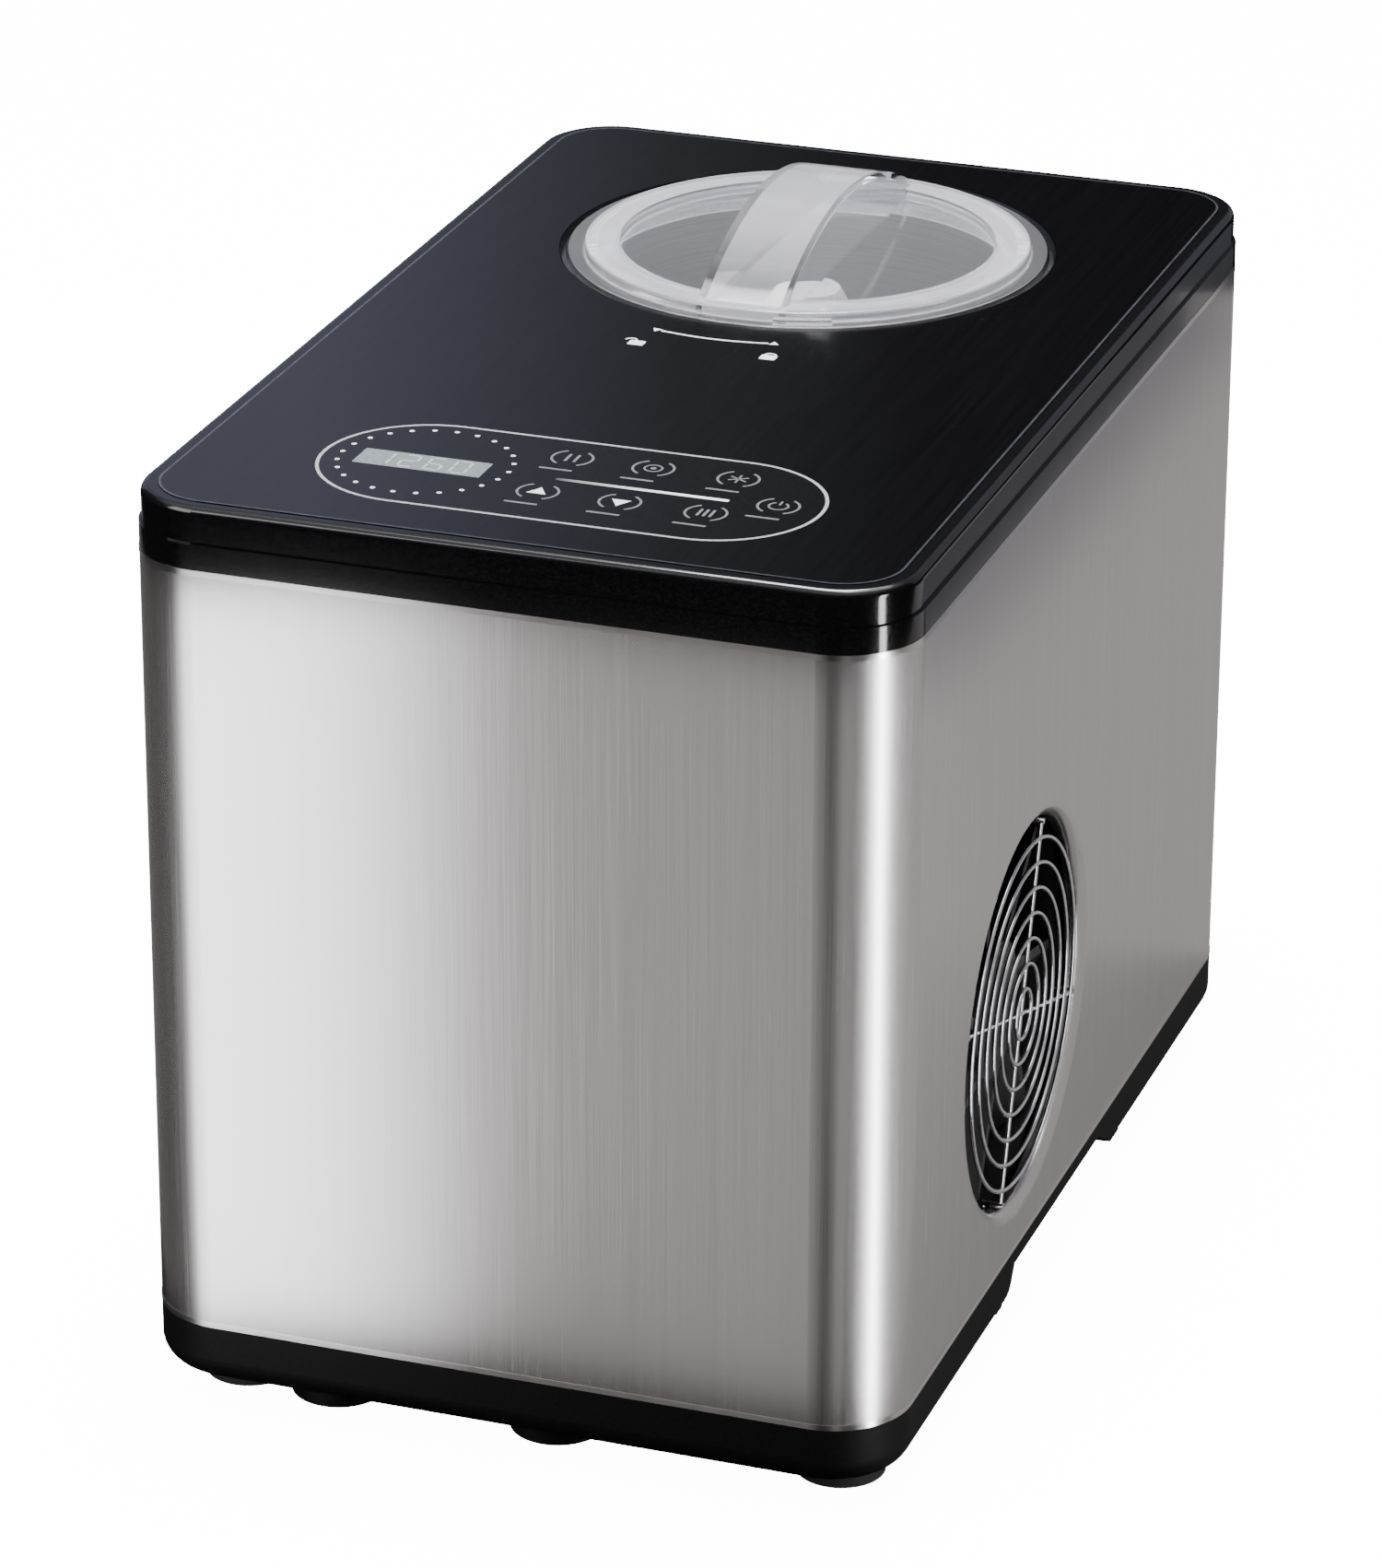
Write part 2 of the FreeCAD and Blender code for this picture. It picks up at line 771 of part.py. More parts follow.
def make_rear_panel():
    """Slotted sheet that closes the rear, let into the shell's frame."""
    body = new_body("rear_panel_body")
    plate = sketch(body, "XZ_Plane", -half_depth + d.rear_recess)
    rear_rectangle(plate, d.gap)
    pad(body, plate, d.rear_plate)
    holes = sketch(body, "XZ_Plane", -half_depth + d.rear_recess)
    circle(holes, d.gland_radius + d.gap, d.gland_x, d.gland_height)
    for x, z in rear_screw_places():
        circle(holes, 1.7, x, z)
    pocket(body, holes, d.rear_plate + 1, back=True)
    slots = sketch(body, "XZ_Plane", -half_depth + d.rear_recess)
    low = cap_z - 32 - d.rear_slot_pitch * (REAR_SLOTS - 1)
    high = low + d.rear_slot_height
    for inner, outer in ((8.0, d.rear_slot_length + 8.0), (-d.rear_slot_length - 8.0, -8.0)):
        polygon(slots, [(inner, low), (outer, low), (outer, high), (inner, high)])
    row = pocket(body, slots, d.rear_plate + 1, back=True)
    repeat_up(body, row, d.rear_slot_pitch * (REAR_SLOTS - 1), REAR_SLOTS)
    return node("rear_panel", body)


def make_rear_screws():
    seat_y = half_depth - d.rear_recess
    screws = []
    for x, z in rear_screw_places():
        name = "rear_screw_%d" % (len(screws) + 1)
        shank_way = FreeCAD.Rotation(FreeCAD.Vector(1, 0, 0), 90)
        screws.append(screw(name, 3.0, 1.8, 1.25, 7.0, x, seat_y, z, shank_way))
    return node("rear_panel_screws", group("rear_screws", screws))


def make_gland():
    """Strain relief collar where the mains lead enters; its bore is blind."""
    back = half_depth - d.rear_recess
    profile = [
        (0, -8), (d.gland_radius, -8), (d.gland_radius, 0), (d.gland_radius + 2.7, 0),
        (d.gland_radius + 1.6, 2.6), (3.6, 2.6), (3.6, -5), (0, -5),
    ]
    return node("cord_gland", turned("gland_body", profile, d.gland_x, back, d.gland_height, ALONG_Y))


# ---- cap, plate and display -----------------------------------------------------------------


def make_cap():
    """Moulded cap: lower band, a step, and an upper band with a round edge; hollow below."""
    body = new_body("top_cap_body")
    border = cap_z + d.cap_height
    pad(body, outline(sketch(body, "XY_Plane", cap_z), 0, d.corner_radius), d.cap_band)
    step = sketch(body, "XY_Plane", cap_z + d.cap_band)
    upper = outline(step, d.cap_step, d.corner_radius - d.cap_step)
    pad(body, upper, d.cap_height - d.cap_band)
    fillet(body, d.cap_round, at_height(border))
    inner = outline(sketch(body, "XY_Plane", cap_z), d.cap_wall, d.corner_radius - d.cap_wall)
    pocket(body, inner, roof_low - cap_z, back=True)
    recess = outline(sketch(body, "XY_Plane", border), d.panel_inset - 0.15, d.panel_corner + 0.15)
    pocket(body, recess, border - roof_top)
    locating_lip(body, cap_z, True)
    hole = circle(sketch(body, "XY_Plane", roof_top), seat_hole + 3.2, 0, bowl_y)
    display_rectangle(hole, 1.0)
    pocket(body, hole, d.cap_roof + 1)
    bosses = sketch(body, "XY_Plane", roof_low - d.board_drop)
    for x, y in board_screw_places():
        circle(bosses, 3.5, x, y)
    pad(body, bosses, d.board_drop + 1)
    pilot = sketch(body, "XY_Plane", roof_low - d.board_drop)
    for x, y in board_screw_places():
        circle(pilot, 1.3, x, y)
    pocket(body, pilot, d.board_drop - 2, back=True)
    return node("top_cap", body)


def display_rectangle(drawing, margin):
    """The display window's outline, grown by a margin."""
    half_x = d.window_width / 2 + margin
    half_y = d.window_depth / 2 + margin
    x = d.window_x
    polygon(drawing, [(x - half_x, keys_y - half_y), (x + half_x, keys_y - half_y),
                      (x + half_x, keys_y + half_y), (x - half_x, keys_y + half_y)])


def board_screw_places():
    half_x = d.board_width / 2 - 5
    half_y = d.board_depth / 2 - 5
    return [(side_x * half_x, keys_y + side_y * half_y) for side_x in (-1, 1) for side_y in (-1, 1)]


def make_panel():
    """Flat glossy plate let into the cap, with the lid's round opening."""
    body = new_body("top_panel_body")
    pad(body, outline(sketch(body, "XY_Plane", roof_top), d.panel_inset, d.panel_corner), d.panel_thick)
    openings = circle(sketch(body, "XY_Plane", top_z), seat_radius, 0, bowl_y)
    display_rectangle(openings, 0)
    pocket(body, openings, d.panel_thick + 1)
    return node("top_panel", body)


def make_display():
    drawing_height = d.panel_thick - 0.1
    lens = new_body("display_window_body")
    pad(lens, display_rectangle_on(lens, roof_top, -0.1), drawing_height)
    node("display_window", lens)
    module = new_body("display_module_body")
    pad(module, display_rectangle_on(module, roof_top - 8, 0.6), 8)
    node("display_module", module)


def display_rectangle_on(body, level, margin):
    drawing = sketch(body, "XY_Plane", level)
    display_rectangle(drawing, margin)
    return drawing


def make_board():
    """Circuit board on the cap's bosses, with its screws and a sensing spring under each key."""
    level = roof_low - d.board_drop
    body = new_body("control_board_body")
    plan = sketch(body, "XY_Plane", level - 1.6)
    half_x = d.board_width / 2
    half_y = d.board_depth / 2
    polygon(plan, [(-half_x, keys_y - half_y), (half_x, keys_y - half_y),
                   (half_x, keys_y + half_y), (-half_x, keys_y + half_y)])
    for x, y in board_screw_places():
        circle(plan, 1.7, x, y)
    pad(body, plan, 1.6)
    chips = sketch(body, "XY_Plane", level - 4.6)
    for x in (-50, -20, 12, 40):
        polygon(chips, [(x, keys_y - 8), (x + 14, keys_y - 8), (x + 14, keys_y + 8), (x, keys_y + 8)])
    pad(body, chips, 3.2)
    node("control_board", body)
    screws = []
    for x, y in board_screw_places():
        name = "board_screw_%d" % (len(screws) + 1)
        screws.append(screw(name, 2.8, 1.6, 1.25, 8.0, x, y, level - 1.6))
    node("board_screws", group("screws_of_board", screws))
    springs = []
    for x, y in key_places():
        name = "key_spring_%d" % (len(springs) + 1)
        inner = d.key_spring_radius - 0.6
        springs.append(tube(name, d.key_spring_radius, inner, d.board_drop, x, y, level))
    node("touch_springs", group("springs_of_keys", springs))


def key_places():
    """Centres of the seven touch keys: two rows of three and the power key."""
    places = [(x, keys_y + row * 13.7) for row in (1, -1) for x in (-4.8, 18.9, 43.6)]
    return places + [(60.5, keys_y)]


def make_seat():
    """Ring that stands in the plate's opening and carries the lid; its tube lines the hole."""
    outer = seat_radius - d.gap
    wall = seat_hole + 2.9
    profile = [
        (seat_hole, roof_top - d.seat_tube), (wall, roof_top - d.seat_tube), (wall, roof_top),
        (outer, roof_top), (outer, top_z - 0.1), (lid_radius + 0.7, lid_seat_z),
        (seat_hole, lid_seat_z),
    ]
    return node("lid_seat", turned("lid_seat_body", profile, 0, bowl_y, 0))


# ---- lid and bowl ---------------------------------------------------------------------------


def make_lid():
    """Clear lid: flange, raised ring, shallow disc, and a hollow arched handle across it."""
    body = new_body("lid_body", 0, bowl_y, 0)
    wall = d.lid_wall
    outer = lid_ring_outer
    inner = lid_ring_inner
    flange_top = lid_seat_z + d.lid_flange
    disc_low = top_z - wall
    skirt = bowl_rim - 3.3
    profile = [
        (0, disc_low), (inner + wall, disc_low), (inner + wall, lid_top - wall), (skirt, lid_top - wall),
        (skirt, skirt_low), (bowl_rim - 0.3, skirt_low), (bowl_rim - 0.3, lid_seat_z),
        (lid_radius, lid_seat_z), (lid_radius, flange_top), (outer, flange_top), (outer, lid_top),
        (inner, lid_top), (inner, top_z), (0, top_z),
    ]
    revolve(body, polygon(sketch(body, "XZ_Plane"), profile))
    pad_both_ways(body, handle_profile(body, 0, outer - 3, lid_seat_z), d.handle_width)
    hollow = handle_profile(body, wall, skirt - 1.5, disc_low - 1)
    pocket_both_ways(body, hollow, d.handle_width - wall * 2)
    lug = [
        (outer - 0.5, flange_top - 0.5), (lid_radius - 0.6, flange_top - 0.5),
        (lid_radius - 0.6, flange_top + d.lug_height), (outer - 0.5, flange_top + d.lug_height),
    ]
    for angle in (LUG_ANGLE, LUG_ANGLE + 180):
        revolve(body, polygon(sketch(body, "XZ_Plane", 0, angle), lug), 14.0)
    fillet(body, 1.0, ring_edge(outer, lid_top))
    return node("lid", body)


def ring_edge(radius, level):
    """True for a round edge of a given radius about the body's own axis, at a given height."""
    def wanted(edge):
        curve = edge.Curve
        if not isinstance(curve, Part.Circle):
            return False
        flat = at_height(level)(edge)
        return flat and abs(curve.Radius - radius.value) < 0.01
    return wanted


def handle_profile(body, inset, half_length, low):
    """Side view of the handle: an arc over the lid, with upright ends and a level line below."""
    drawing = sketch(body, "YZ_Plane")
    radius = d.handle_curve - inset
    centre_z = top_z + d.handle_rise - d.handle_curve
    reach = size(half_length).value
    floor = size(low).value
    rise = centre_z.value + math.sqrt(radius.value ** 2 - reach ** 2)
    half_angle = math.asin(reach / radius.value)
    whole = Part.Circle(FreeCAD.Vector(0, centre_z.value, 0), FreeCAD.Vector(0, 0, 1), radius.value)
    corners = [FreeCAD.Vector(*place, 0) for place in
               ((-reach, rise), (-reach, floor), (reach, floor), (reach, rise))]
    drawing.addGeometry([
        Part.ArcOfCircle(whole, math.pi / 2 - half_angle, math.pi / 2 + half_angle),
        Part.LineSegment(corners[0], corners[1]),
        Part.LineSegment(corners[1], corners[2]),
        Part.LineSegment(corners[2], corners[3]),
    ], False)
    drawing.addConstraint([
        Sketcher.Constraint("Coincident", 0, 2, 1, 1),
        Sketcher.Constraint("Coincident", 1, 2, 2, 1),
        Sketcher.Constraint("Coincident", 2, 2, 3, 1),
        Sketcher.Constraint("Coincident", 3, 2, 0, 1),
        Sketcher.Constraint("PointOnObject", 0, 3, -2),
        Sketcher.Constraint("Vertical", 1),
        Sketcher.Constraint("Vertical", 3),
    ])
    constrain(drawing, "Radius", 0, value=radius)
    constrain(drawing, "DistanceY", -1, 1, 0, 3, value=centre_z)
    pin(drawing, 2, 1, -half_length, low)
    pin(drawing, 2, 2, half_length, low)
    return drawing


def make_bowl():
    """Removable aluminium bowl with a turned-out rim and a tube for the shaft."""
    wall = d.bowl_wall
    outer = d.bowl_radius + wall
    bore = d.bowl_tube_radius
    tube_top = bowl_low + d.bowl_tube_height
    profile = [
        (bore, bowl_low), (outer, bowl_low), (outer, bowl_top - 1.5), (bowl_rim, bowl_top - 1.5),
        (bowl_rim, bowl_top), (d.bowl_radius, bowl_top), (d.bowl_radius, bowl_low + wall),
        (bore + wall, bowl_low + wall), (bore + wall, tube_top), (bore, tube_top),
    ]
    node("bowl", turned("bowl_body", profile, 0, bowl_y, 0))
    ring = [
        (bowl_rim - 3.3, bowl_top), (bowl_rim - 0.1, bowl_top),
        (bowl_rim - 0.1, skirt_low), (bowl_rim - 3.3, skirt_low),
    ]
    return node("lid_gasket", turned("lid_gasket_body", ring, 0, bowl_y, 0))


def make_paddle():
    """Mixing paddle: a hub over the bowl's tube with two framed blades that clear the bowl."""
    low = bowl_low + d.bowl_wall + 0.6
    high = low + d.paddle_height
    body = new_body("paddle_body", 0, bowl_y, 0)
    revolve(body, polygon(sketch(body, "XZ_Plane"), [
        (0, low), (d.paddle_hub, low), (d.paddle_hub, high), (d.paddle_hub - 4, high + 7), (0, high + 7),
    ]))
    reach = d.bowl_radius - d.paddle_clear
    blade = sketch(body, "XZ_Plane")
    polygon(blade, [(-reach, low), (reach, low), (reach, high - 30), (reach - 14, high),
                    (-reach + 2, high), (-reach, high - 12)])
    pad_both_ways(body, blade, d.paddle_blade)
    windows = sketch(body, "XZ_Plane")
    polygon(windows, [(-reach + 10, low + 12), (-d.paddle_hub - 5, low + 12),
                      (-d.paddle_hub - 5, high - 14), (-reach + 10, high - 14)])
    polygon(windows, [(d.paddle_hub + 5, low + 12), (reach - 10, low + 12),
                      (reach - 10, low + 40), (d.paddle_hub + 5, low + 62)])
    pocket_both_ways(body, windows, d.paddle_hub * 2)
    bore = circle(sketch(body, "XY_Plane", low), d.paddle_bore)
    pocket(body, bore, bowl_low + d.bowl_tube_height + 1 - low, back=True)
    half = d.shaft_square / 2 + d.gap
    socket = sketch(body, "XY_Plane", low)
    polygon(socket, [(-half, -half), (half, -half), (half, half), (-half, half)])
    pocket(body, socket, shaft_top() - low + 0.6, back=True)
    return node("paddle", body)


def shaft_top():
    """The drive shaft's tip, above the bowl's tube."""
    return bowl_low + d.bowl_tube_height + 20


# ---- cooling well ---------------------------------------------------------------------------


def make_well():
    """Aluminium well that the bowl stands in, with a centre tube for the shaft."""
    inner = d.bowl_radius + d.bowl_wall + d.well_gap
    outer = inner + d.well_wall
    tube_top = well_low + d.well_tube_height
    bore = d.shaft_radius + d.bush_wall
    profile = [
        (bore, well_low), (outer, well_low), (outer, well_rim - 1.5),
        (seat_hole - d.gap, well_rim - 1.5),
        (seat_hole - d.gap, well_rim), (inner, well_rim), (inner, well_low + d.well_wall),
        (d.well_tube_radius, well_low + d.well_wall), (d.well_tube_radius, tube_top), (bore, tube_top),
    ]
    return node("evaporator_well", turned("well_body", profile, 0, bowl_y, 0))


def coil_radius():
    """Middle of the evaporator's tube, wound on the well."""
    return d.bowl_radius + d.bowl_wall + d.well_gap + d.well_wall + d.coil_tube + 0.2


def coil_low():
    return foam_low + 52


def coil_lead_y():
    return bowl_y - coil_radius() - 25


def make_coil():
    """Copper tube wound round the well; both ends run straight out to the front."""
    radius = coil_radius().value
    pitch = d.coil_pitch.value
    rise = pitch * d.coil_turns.value
    start = FreeCAD.Vector(radius, 0, 0)
    lead = FreeCAD.Vector(0, coil_lead_y().value - bowl_y.value, 0)
    turns = Part.makeHelix(pitch, rise, radius).Edges
    end = FreeCAD.Vector(-radius, 0, rise)
    path = Part.Wire([Part.makeLine(start + lead, start)] + turns + [Part.makeLine(end, end + lead)])
    made = doc.addObject("Part::Feature", "evaporator_coil_solid")
    made.Shape = sweep_round(path, d.coil_tube.value)
    put(made, 0, bowl_y, coil_low())
    return node("evaporator_coil", made)


def make_foam():
    """Moulded foam round the coil and under the well."""
    inner = coil_radius() + d.coil_tube + 0.3
    outer = inner + d.foam_wall
    bore = d.shaft_radius + 3
    top = roof_top - d.seat_tube - 0.5
    profile = [
        (bore, foam_low), (outer, foam_low), (outer, top), (inner, top), (inner, well_low),
        (bore, well_low),
    ]
    solid = turned("foam_body", profile, 0, bowl_y, 0)
    hole = d.coil_tube + 0.6
    leads = []
    for side, level in ((1, coil_low()), (-1, coil_low() + d.coil_pitch * d.coil_turns)):
        name = "lead_hole_%d" % (len(leads) + 1)
        reach = coil_radius() + 30
        leads.append(cylinder(name, hole, reach, side * coil_radius(), bowl_y - reach, level, ALONG_Y))
    return node("foam_jacket", cut("foam_with_holes", solid, group("lead_holes", leads)))


# ---- drive ----------------------------------------------------------------------------------


def make_bridge():
    """Folded steel bridge that carries the well's foam and the gearbox."""
    sheet = d.bridge_sheet
    half = d.bridge_width / 2
    front = bowl_y - 55
    rear = bowl_y + 72
    parts = [
        box("bridge_plate", (-half - 25, front, bridge_top - sheet), (half, rear, bridge_top)),
        box("bridge_front_leg", (-half, front, floor_z), (half, front + sheet, bridge_top)),
        box("bridge_rear_leg", (-half, rear - sheet, floor_z), (half, rear, bridge_top)),
        box("bridge_front_foot", (-half, front - 14, floor_z), (half, front + sheet, floor_z + sheet)),
        box("bridge_rear_foot", (-half, rear - sheet, floor_z), (half, rear + 10, floor_z + sheet)),
    ]
    whole = fuse("bridge_whole", parts)
    hole = cylinder("bridge_hole", d.shaft_radius + 8, sheet + 2, 0, bowl_y, bridge_top - sheet - 1)
    node("drive_bridge", cut("bridge_cut", whole, hole))
    screws = []
    for x in (-40, 40):
        for y in (front - 7, rear + 5):
            name = "bridge_screw_%d" % (len(screws) + 1)
            screws.append(cylinder(name, 4.0, 2.4, x, y, floor_z + sheet))
    return node("bridge_screws", group("screws_of_bridge", screws))


def case_plan(drawing, inset):
    """Gearbox outline: a stadium round the output and idler axes."""
    radius = gear_distance + d.case_clear - inset
    half_x = gear_distance / 2 + radius
    middle = -gear_distance / 2
    return rounded(drawing, middle - half_x, middle + half_x, bowl_y - radius, bowl_y + radius,
                   radius - 0.5)


def make_case():
    """Gearbox: a moulded tub with bearing seats, closed by a flat cover."""
    wall = d.case_wall
    cover_z = case_top - wall
    tub = new_body("gearbox_base_body")
    pad(tub, case_plan(sketch(tub, "XY_Plane", case_low), 0), d.case_height - wall)
    pocket(tub, case_plan(sketch(tub, "XY_Plane", cover_z), wall), d.case_height - wall * 2)
    bores = sketch(tub, "XY_Plane", case_low)
    circle(bores, d.shaft_radius + d.bush_wall, 0, bowl_y)
    circle(bores, 1.95, idler_x, bowl_y)
    circle(bores, 9.0, motor_x, motor_y)
    pocket(tub, bores, wall + 1, back=True)
    node("gearbox_base", tub)
    cover = new_body("gearbox_cover_body")
    pad(cover, case_plan(sketch(cover, "XY_Plane", cover_z), 0), wall)
    top_bores = sketch(cover, "XY_Plane", case_top)
    circle(top_bores, d.shaft_radius + d.bush_wall, 0, bowl_y)
    circle(top_bores, 1.95, idler_x, bowl_y)
    pocket(cover, top_bores, wall + 1)
    node("gearbox_cover", cover)
    node("idler_pin", cylinder("idler_pin_rod", 1.95, d.case_height, idler_x, bowl_y, case_low))
    outer = d.shaft_radius + d.bush_wall
    inner = d.shaft_radius + d.fit_gap
    node("lower_bearing", tube("lower_bearing_ring", outer, inner, wall, 0, bowl_y, case_low))
    node("cover_bearing", tube("cover_bearing_ring", outer, inner, wall, 0, bowl_y, cover_z))


def tooth_points(teeth, module, backlash, addendum, phase):
    """Corner points of an involute gear with short teeth, one tooth centred at the phase angle."""
    pressure = math.radians(20)
    pitch = module * teeth / 2
    base = pitch * math.cos(pressure)
    tip = pitch + addendum
    root = pitch - module * 1.15
    half_tooth = (math.pi * module / 2 - backlash) / 2 / pitch + math.tan(pressure) - pressure

    def flank(radius):
        """Half the tooth's angle at a radius."""
        if radius <= base:
            return half_tooth
        angle = math.acos(base / radius)
        return half_tooth - (math.tan(angle) - angle)

    low = max(base, root)
    radii = [root] if root < base else []
    radii += [low + (tip - low) * step / 4 for step in range(5)]
    points = []
    for tooth in range(teeth):
        middle = phase + 2 * math.pi * tooth / teeth
        for side, row in ((-1, radii), (1, radii[::-1])):
            for radius in row:
                angle = middle + side * flank(radius)
                points.append(FreeCAD.Vector(radius * math.cos(angle), radius * math.sin(angle), 0))
    return points


def gear(teeth, phase, width, z):
    """Solid of one toothed wheel about its own axis."""
    module = d.gear_module.value
    points = tooth_points(teeth, module, d.gear_backlash.value, module * 0.7, phase)
    face = Part.Face(Part.makePolygon(points + points[:1]))
    wheel = face.extrude(FreeCAD.Vector(0, 0, size(width).value))
    wheel.translate(FreeCAD.Vector(0, 0, size(z).value))
    return wheel


def toothed(name, shape, x, y):
    made = doc.addObject("Part::Feature", name + "_solid")
    made.Shape = shape
    put(made, x, y, 0)
    return node(name, made)


def make_gears():
    """Two stages: motor pinion to idler wheel, idler pinion to output wheel."""
    low = case_low + d.case_wall + 1
    width = d.gear_width
    upper = low + width + 1
    toward_output = 0.0
    toward_motor = math.radians(motor_angle)
    half_step = math.pi / OUTPUT_TEETH
    output = gear(OUTPUT_TEETH, math.pi + half_step, width, upper)
    hub = Part.makeCylinder(9, width.value + 2.8, FreeCAD.Vector(0, 0, upper.value))
    bore = Part.makeCylinder(d.shaft_radius.value, 60, FreeCAD.Vector(0, 0, low.value - 10))
    toothed("output_gear", output.fuse(hub).cut(bore).removeSplitter(), 0, bowl_y)
    wheel = gear(IDLER_WHEEL_TEETH, toward_motor, width - 1, low)
    small = gear(IDLER_PINION_TEETH, toward_output, width + 3, low + width - 1)
    pin_bore = Part.makeCylinder(2.0, 60, FreeCAD.Vector(0, 0, low.value - 10))
    toothed("idler_gear", wheel.fuse(small).cut(pin_bore), idler_x, bowl_y)
    pinion_phase = toward_motor + math.pi + math.pi / PINION_TEETH
    pinion = gear(PINION_TEETH, pinion_phase, width - 1, low)
    shaft_bore = Part.makeCylinder(2.5, 60, FreeCAD.Vector(0, 0, low.value - 10))
    toothed("motor_pinion", pinion.cut(shaft_bore), motor_x, motor_y)


def make_motor():
    """Mixing motor: a can under the gearbox, its stator ring, and the rotor on its shaft."""
    outer = d.motor_radius
    low = motor_low
    high = case_low
    shaft = 2.5
    hole = shaft + d.fit_gap
    can = [
        (hole, low), (outer, low), (outer, high), (hole, high), (hole, high - 2), (outer - 1.5, high - 2),
        (outer - 1.5, low + 2), (hole, low + 2),
    ]
    node("motor_can", turned("motor_can_body", can, motor_x, motor_y, 0))
    stator = [
        (outer - 9, low + 10), (outer - 1.5, low + 10), (outer - 1.5, high - 10), (outer - 9, high - 10),
    ]
    node("motor_stator", turned("motor_stator_body", stator, motor_x, motor_y, 0))
    top = case_low + d.case_wall + 1 + d.gear_width
    rotor = [
        (0, low), (shaft, low), (shaft, low + 8), (outer - 9.6, low + 8), (outer - 9.6, high - 8),
        (shaft, high - 8), (shaft, top), (0, top),
    ]
    return node("motor_rotor", turned("motor_rotor_body", rotor, motor_x, motor_y, 0))


def make_shaft():
    """Drive shaft from the output wheel up through the well, with a square tip for the paddle."""
    low = case_low
    tip = shaft_top()
    round_part = cylinder("shaft_rod", d.shaft_radius, tip - d.square_height - low, 0, bowl_y, low)
    half = d.shaft_square / 2
    start = tip - d.square_height - 1
    square = box("shaft_tip", (-half, bowl_y - half, start), (half, bowl_y + half, tip))
    node("drive_shaft", fuse("shaft_whole", [round_part, square]))
    bush_top = well_low + d.well_tube_height
    outer = d.shaft_radius + d.bush_wall
    inner = d.shaft_radius + d.fit_gap
    long = d.bush_length
    node("upper_bearing", tube("upper_bush", outer, inner, long, 0, bowl_y, bush_top - long))
    node("shaft_seal", tube("seal_ring", d.well_tube_radius, inner, d.seal_height, 0, bowl_y, bush_top))


def make_case_screws():
    """Screws that hold the gearbox cover to the bridge, in the case's own corners."""
    screws = []
    for x, y in ((30, -25), (30, 25), (-30 - gear_distance, -25), (-30 - gear_distance, 25)):
        name = "case_screw_%d" % (len(screws) + 1)
        screws.append(cylinder(name, 3.0, 2.0, x, bowl_y + y, case_low - 2))
    return node("gearbox_screws", group("screws_of_case", screws))


# ---- compressor -----------------------------------------------------------------------------


def compressor_low():
    return floor_z + d.grommet_height + 3


def pipe_stub_places():
    """The compressor's discharge and suction stubs, as x and y."""
    discharge = (d.compressor_x + 25, compressor_y - 25)
    suction = (d.compressor_x - 20, compressor_y + 25)
    return discharge, suction


def make_compressor():
    """Sealed compressor: a drawn steel shell with a welded belt, on a foot plate."""
    radius = d.compressor_radius
    low = compressor_low()
    high = low + d.compressor_height
    middle = (low + high) / 2
    body = new_body("compressor_body_solid", d.compressor_x, compressor_y, 0)
    revolve(body, polygon(sketch(body, "XZ_Plane"), [
        (0, low), (radius - 10, low), (radius, low + 12), (radius, middle - 3), (radius + 3, middle - 3),
        (radius + 3, middle + 3), (radius, middle + 3), (radius, high - 22), (radius - 8, high - 8),
        (radius - 24, high), (0, high),
    ]))
    stubs = sketch(body, "XY_Plane", high - 16)
    for x, y in ((25, -25), (-20, 25)):
        circle(stubs, d.pipe_radius + 0.6, x, y)
    pad(body, stubs, 24)
    node("compressor_body", body)
    x = d.compressor_x
    half_x = d.mount_pitch_x / 2 + 10
    half_y = d.mount_pitch_y / 2 + 10
    near = (x - half_x, compressor_y - half_y, low - 3)
    far = (x + half_x, compressor_y + half_y, low)
    plate = box("foot_plate", near, far)
    holes = []
    grommets = []
    bolts = []
    for px, py in mount_places():
        index = len(bolts) + 1
        holes.append(cylinder("plate_hole_%d" % index, 3.4, 5, px, py, low - 4))
        grommets.append(tube("grommet_%d" % index, 9.5, 3.4, d.grommet_height, px, py, floor_z))
        head = hexagon("bolt_head_%d" % index, 5.8, 4.5, px, py, low)
        shank = cylinder("bolt_shank_%d" % index, 3.0, d.grommet_height + 4, px, py, floor_z)
        bolts.append(fuse("mount_bolt_%d" % index, [head, shank]))
    node("compressor_plate", cut("foot_plate_cut", plate, group("plate_holes", holes)))
    node("compressor_grommets", group("grommets", grommets))
    node("compressor_bolts", group("mount_bolts", bolts))
    side = x - radius
    near = (side - 22, compressor_y - 22, low + 20)
    far = (side + 30, compressor_y + 22, low + 52)
    cover = box("relay_block", near, far)
    clear = cylinder("relay_clear", radius + 0.2, d.compressor_height, x, compressor_y, low)
    node("compressor_relay", cut("relay_cut", cover, clear))


# ---- fan and condenser ----------------------------------------------------------------------


def fan_face():
    """The fan frame's outer face, behind the drawn lip."""
    return half_width - d.fan_lip_depth - d.guard_wire * (2 + WELD_DEPTH) - 0.1


